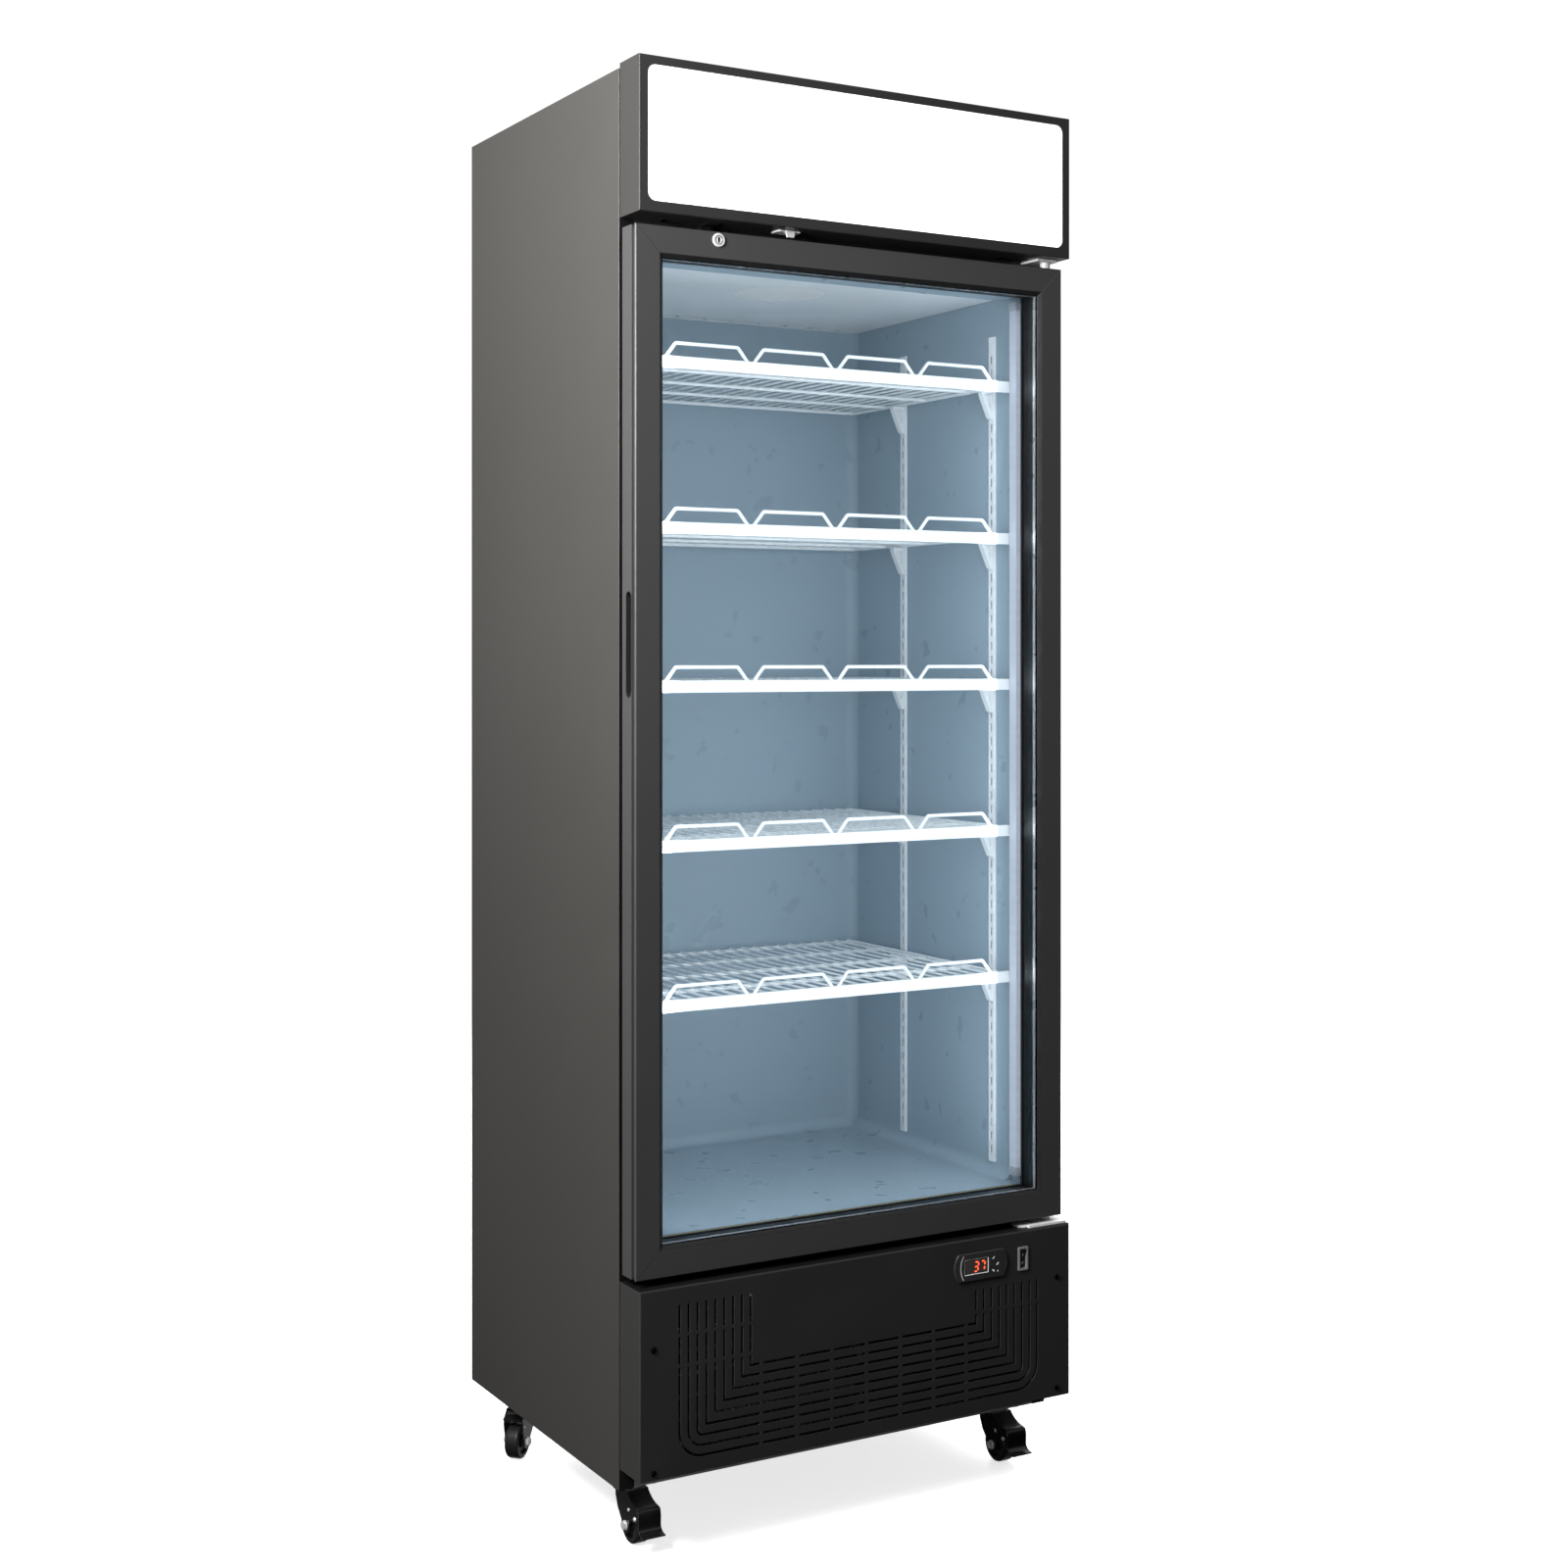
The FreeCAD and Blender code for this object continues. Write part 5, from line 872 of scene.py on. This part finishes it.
def area_light(name, place, target, size, power, colour=(1.0, 1.0, 1.0)):
    data = bpy.data.lights.new(name, "AREA")
    data.shape = "RECTANGLE"
    data.size, data.size_y = size
    data.energy = power
    data.color = colour
    lamp = bpy.data.objects.new(name, data)
    lamp.location = place
    aim = Vector(target) - Vector(place)
    lamp.rotation_euler = aim.to_track_quat("-Z", "Y").to_euler()
    lamp.visible_camera = False
    bpy.context.scene.collection.objects.link(lamp)
    return lamp


def lights():
    """Large key on the left, fill from behind, and small fills for casters and interior."""
    area_light("key", (-1.75, -1.0, 2.1), (-0.34, -0.85, 2.38), (0.7, 1.4), 140.0)
    area_light("rear_fill", (1.5, 3.0, 2.1), (0.1, 0.1, 1.1), (1.4, 1.4), 130.0)
    area_light("caster_strip", (-0.9, -0.85, 0.05), (-0.1, -0.25, 0.04), (0.5, 0.06), 1.3)
    fill = area_light("door_fill", (0.0, -0.262, 1.05), (0.0, 0.0, 1.05), (0.58, 1.25), 3.8,
                      (0.86, 0.94, 1.0))
    fill.visible_glossy = False
    for side in (-1, 1):
        lamp = area_light("jamb_led", (side * 0.265, -0.222, 1.055), (0.0, 0.12, 1.055),
                          (0.012, 1.2), 0.45, (0.80, 0.90, 1.0))
        lamp.visible_glossy = False


IMAGE_SIZE = 1600.0
FOCAL_LENGTH = 2228.8
HORIZON_ROW = 671.1
SENSOR_WIDTH = 36.0
CAMERA_PLACE = (-1.575, -2.7991, 1.1726)
CAMERA_TURN = -30.014


def camera():
    """Level camera, its focal length and horizon given in pixels of the square image."""
    data = bpy.data.cameras.new("camera")
    data.sensor_width = SENSOR_WIDTH
    data.lens = SENSOR_WIDTH * FOCAL_LENGTH / IMAGE_SIZE
    data.shift_y = (HORIZON_ROW - IMAGE_SIZE / 2) / IMAGE_SIZE
    data.clip_start = 0.05
    data.clip_end = 200.0
    obj = bpy.data.objects.new("camera", data)
    obj.location = CAMERA_PLACE
    obj.rotation_euler = (math.radians(90.0), 0.0, math.radians(CAMERA_TURN))
    bpy.context.scene.collection.objects.link(obj)
    bpy.context.scene.camera = obj
    bpy.context.scene.view_settings.view_transform = "Standard"


controls()
rocker_marks()
gasket()
louvre_hoods()
liner_coves()
pale_floor()
studio_world()
lights()
camera()
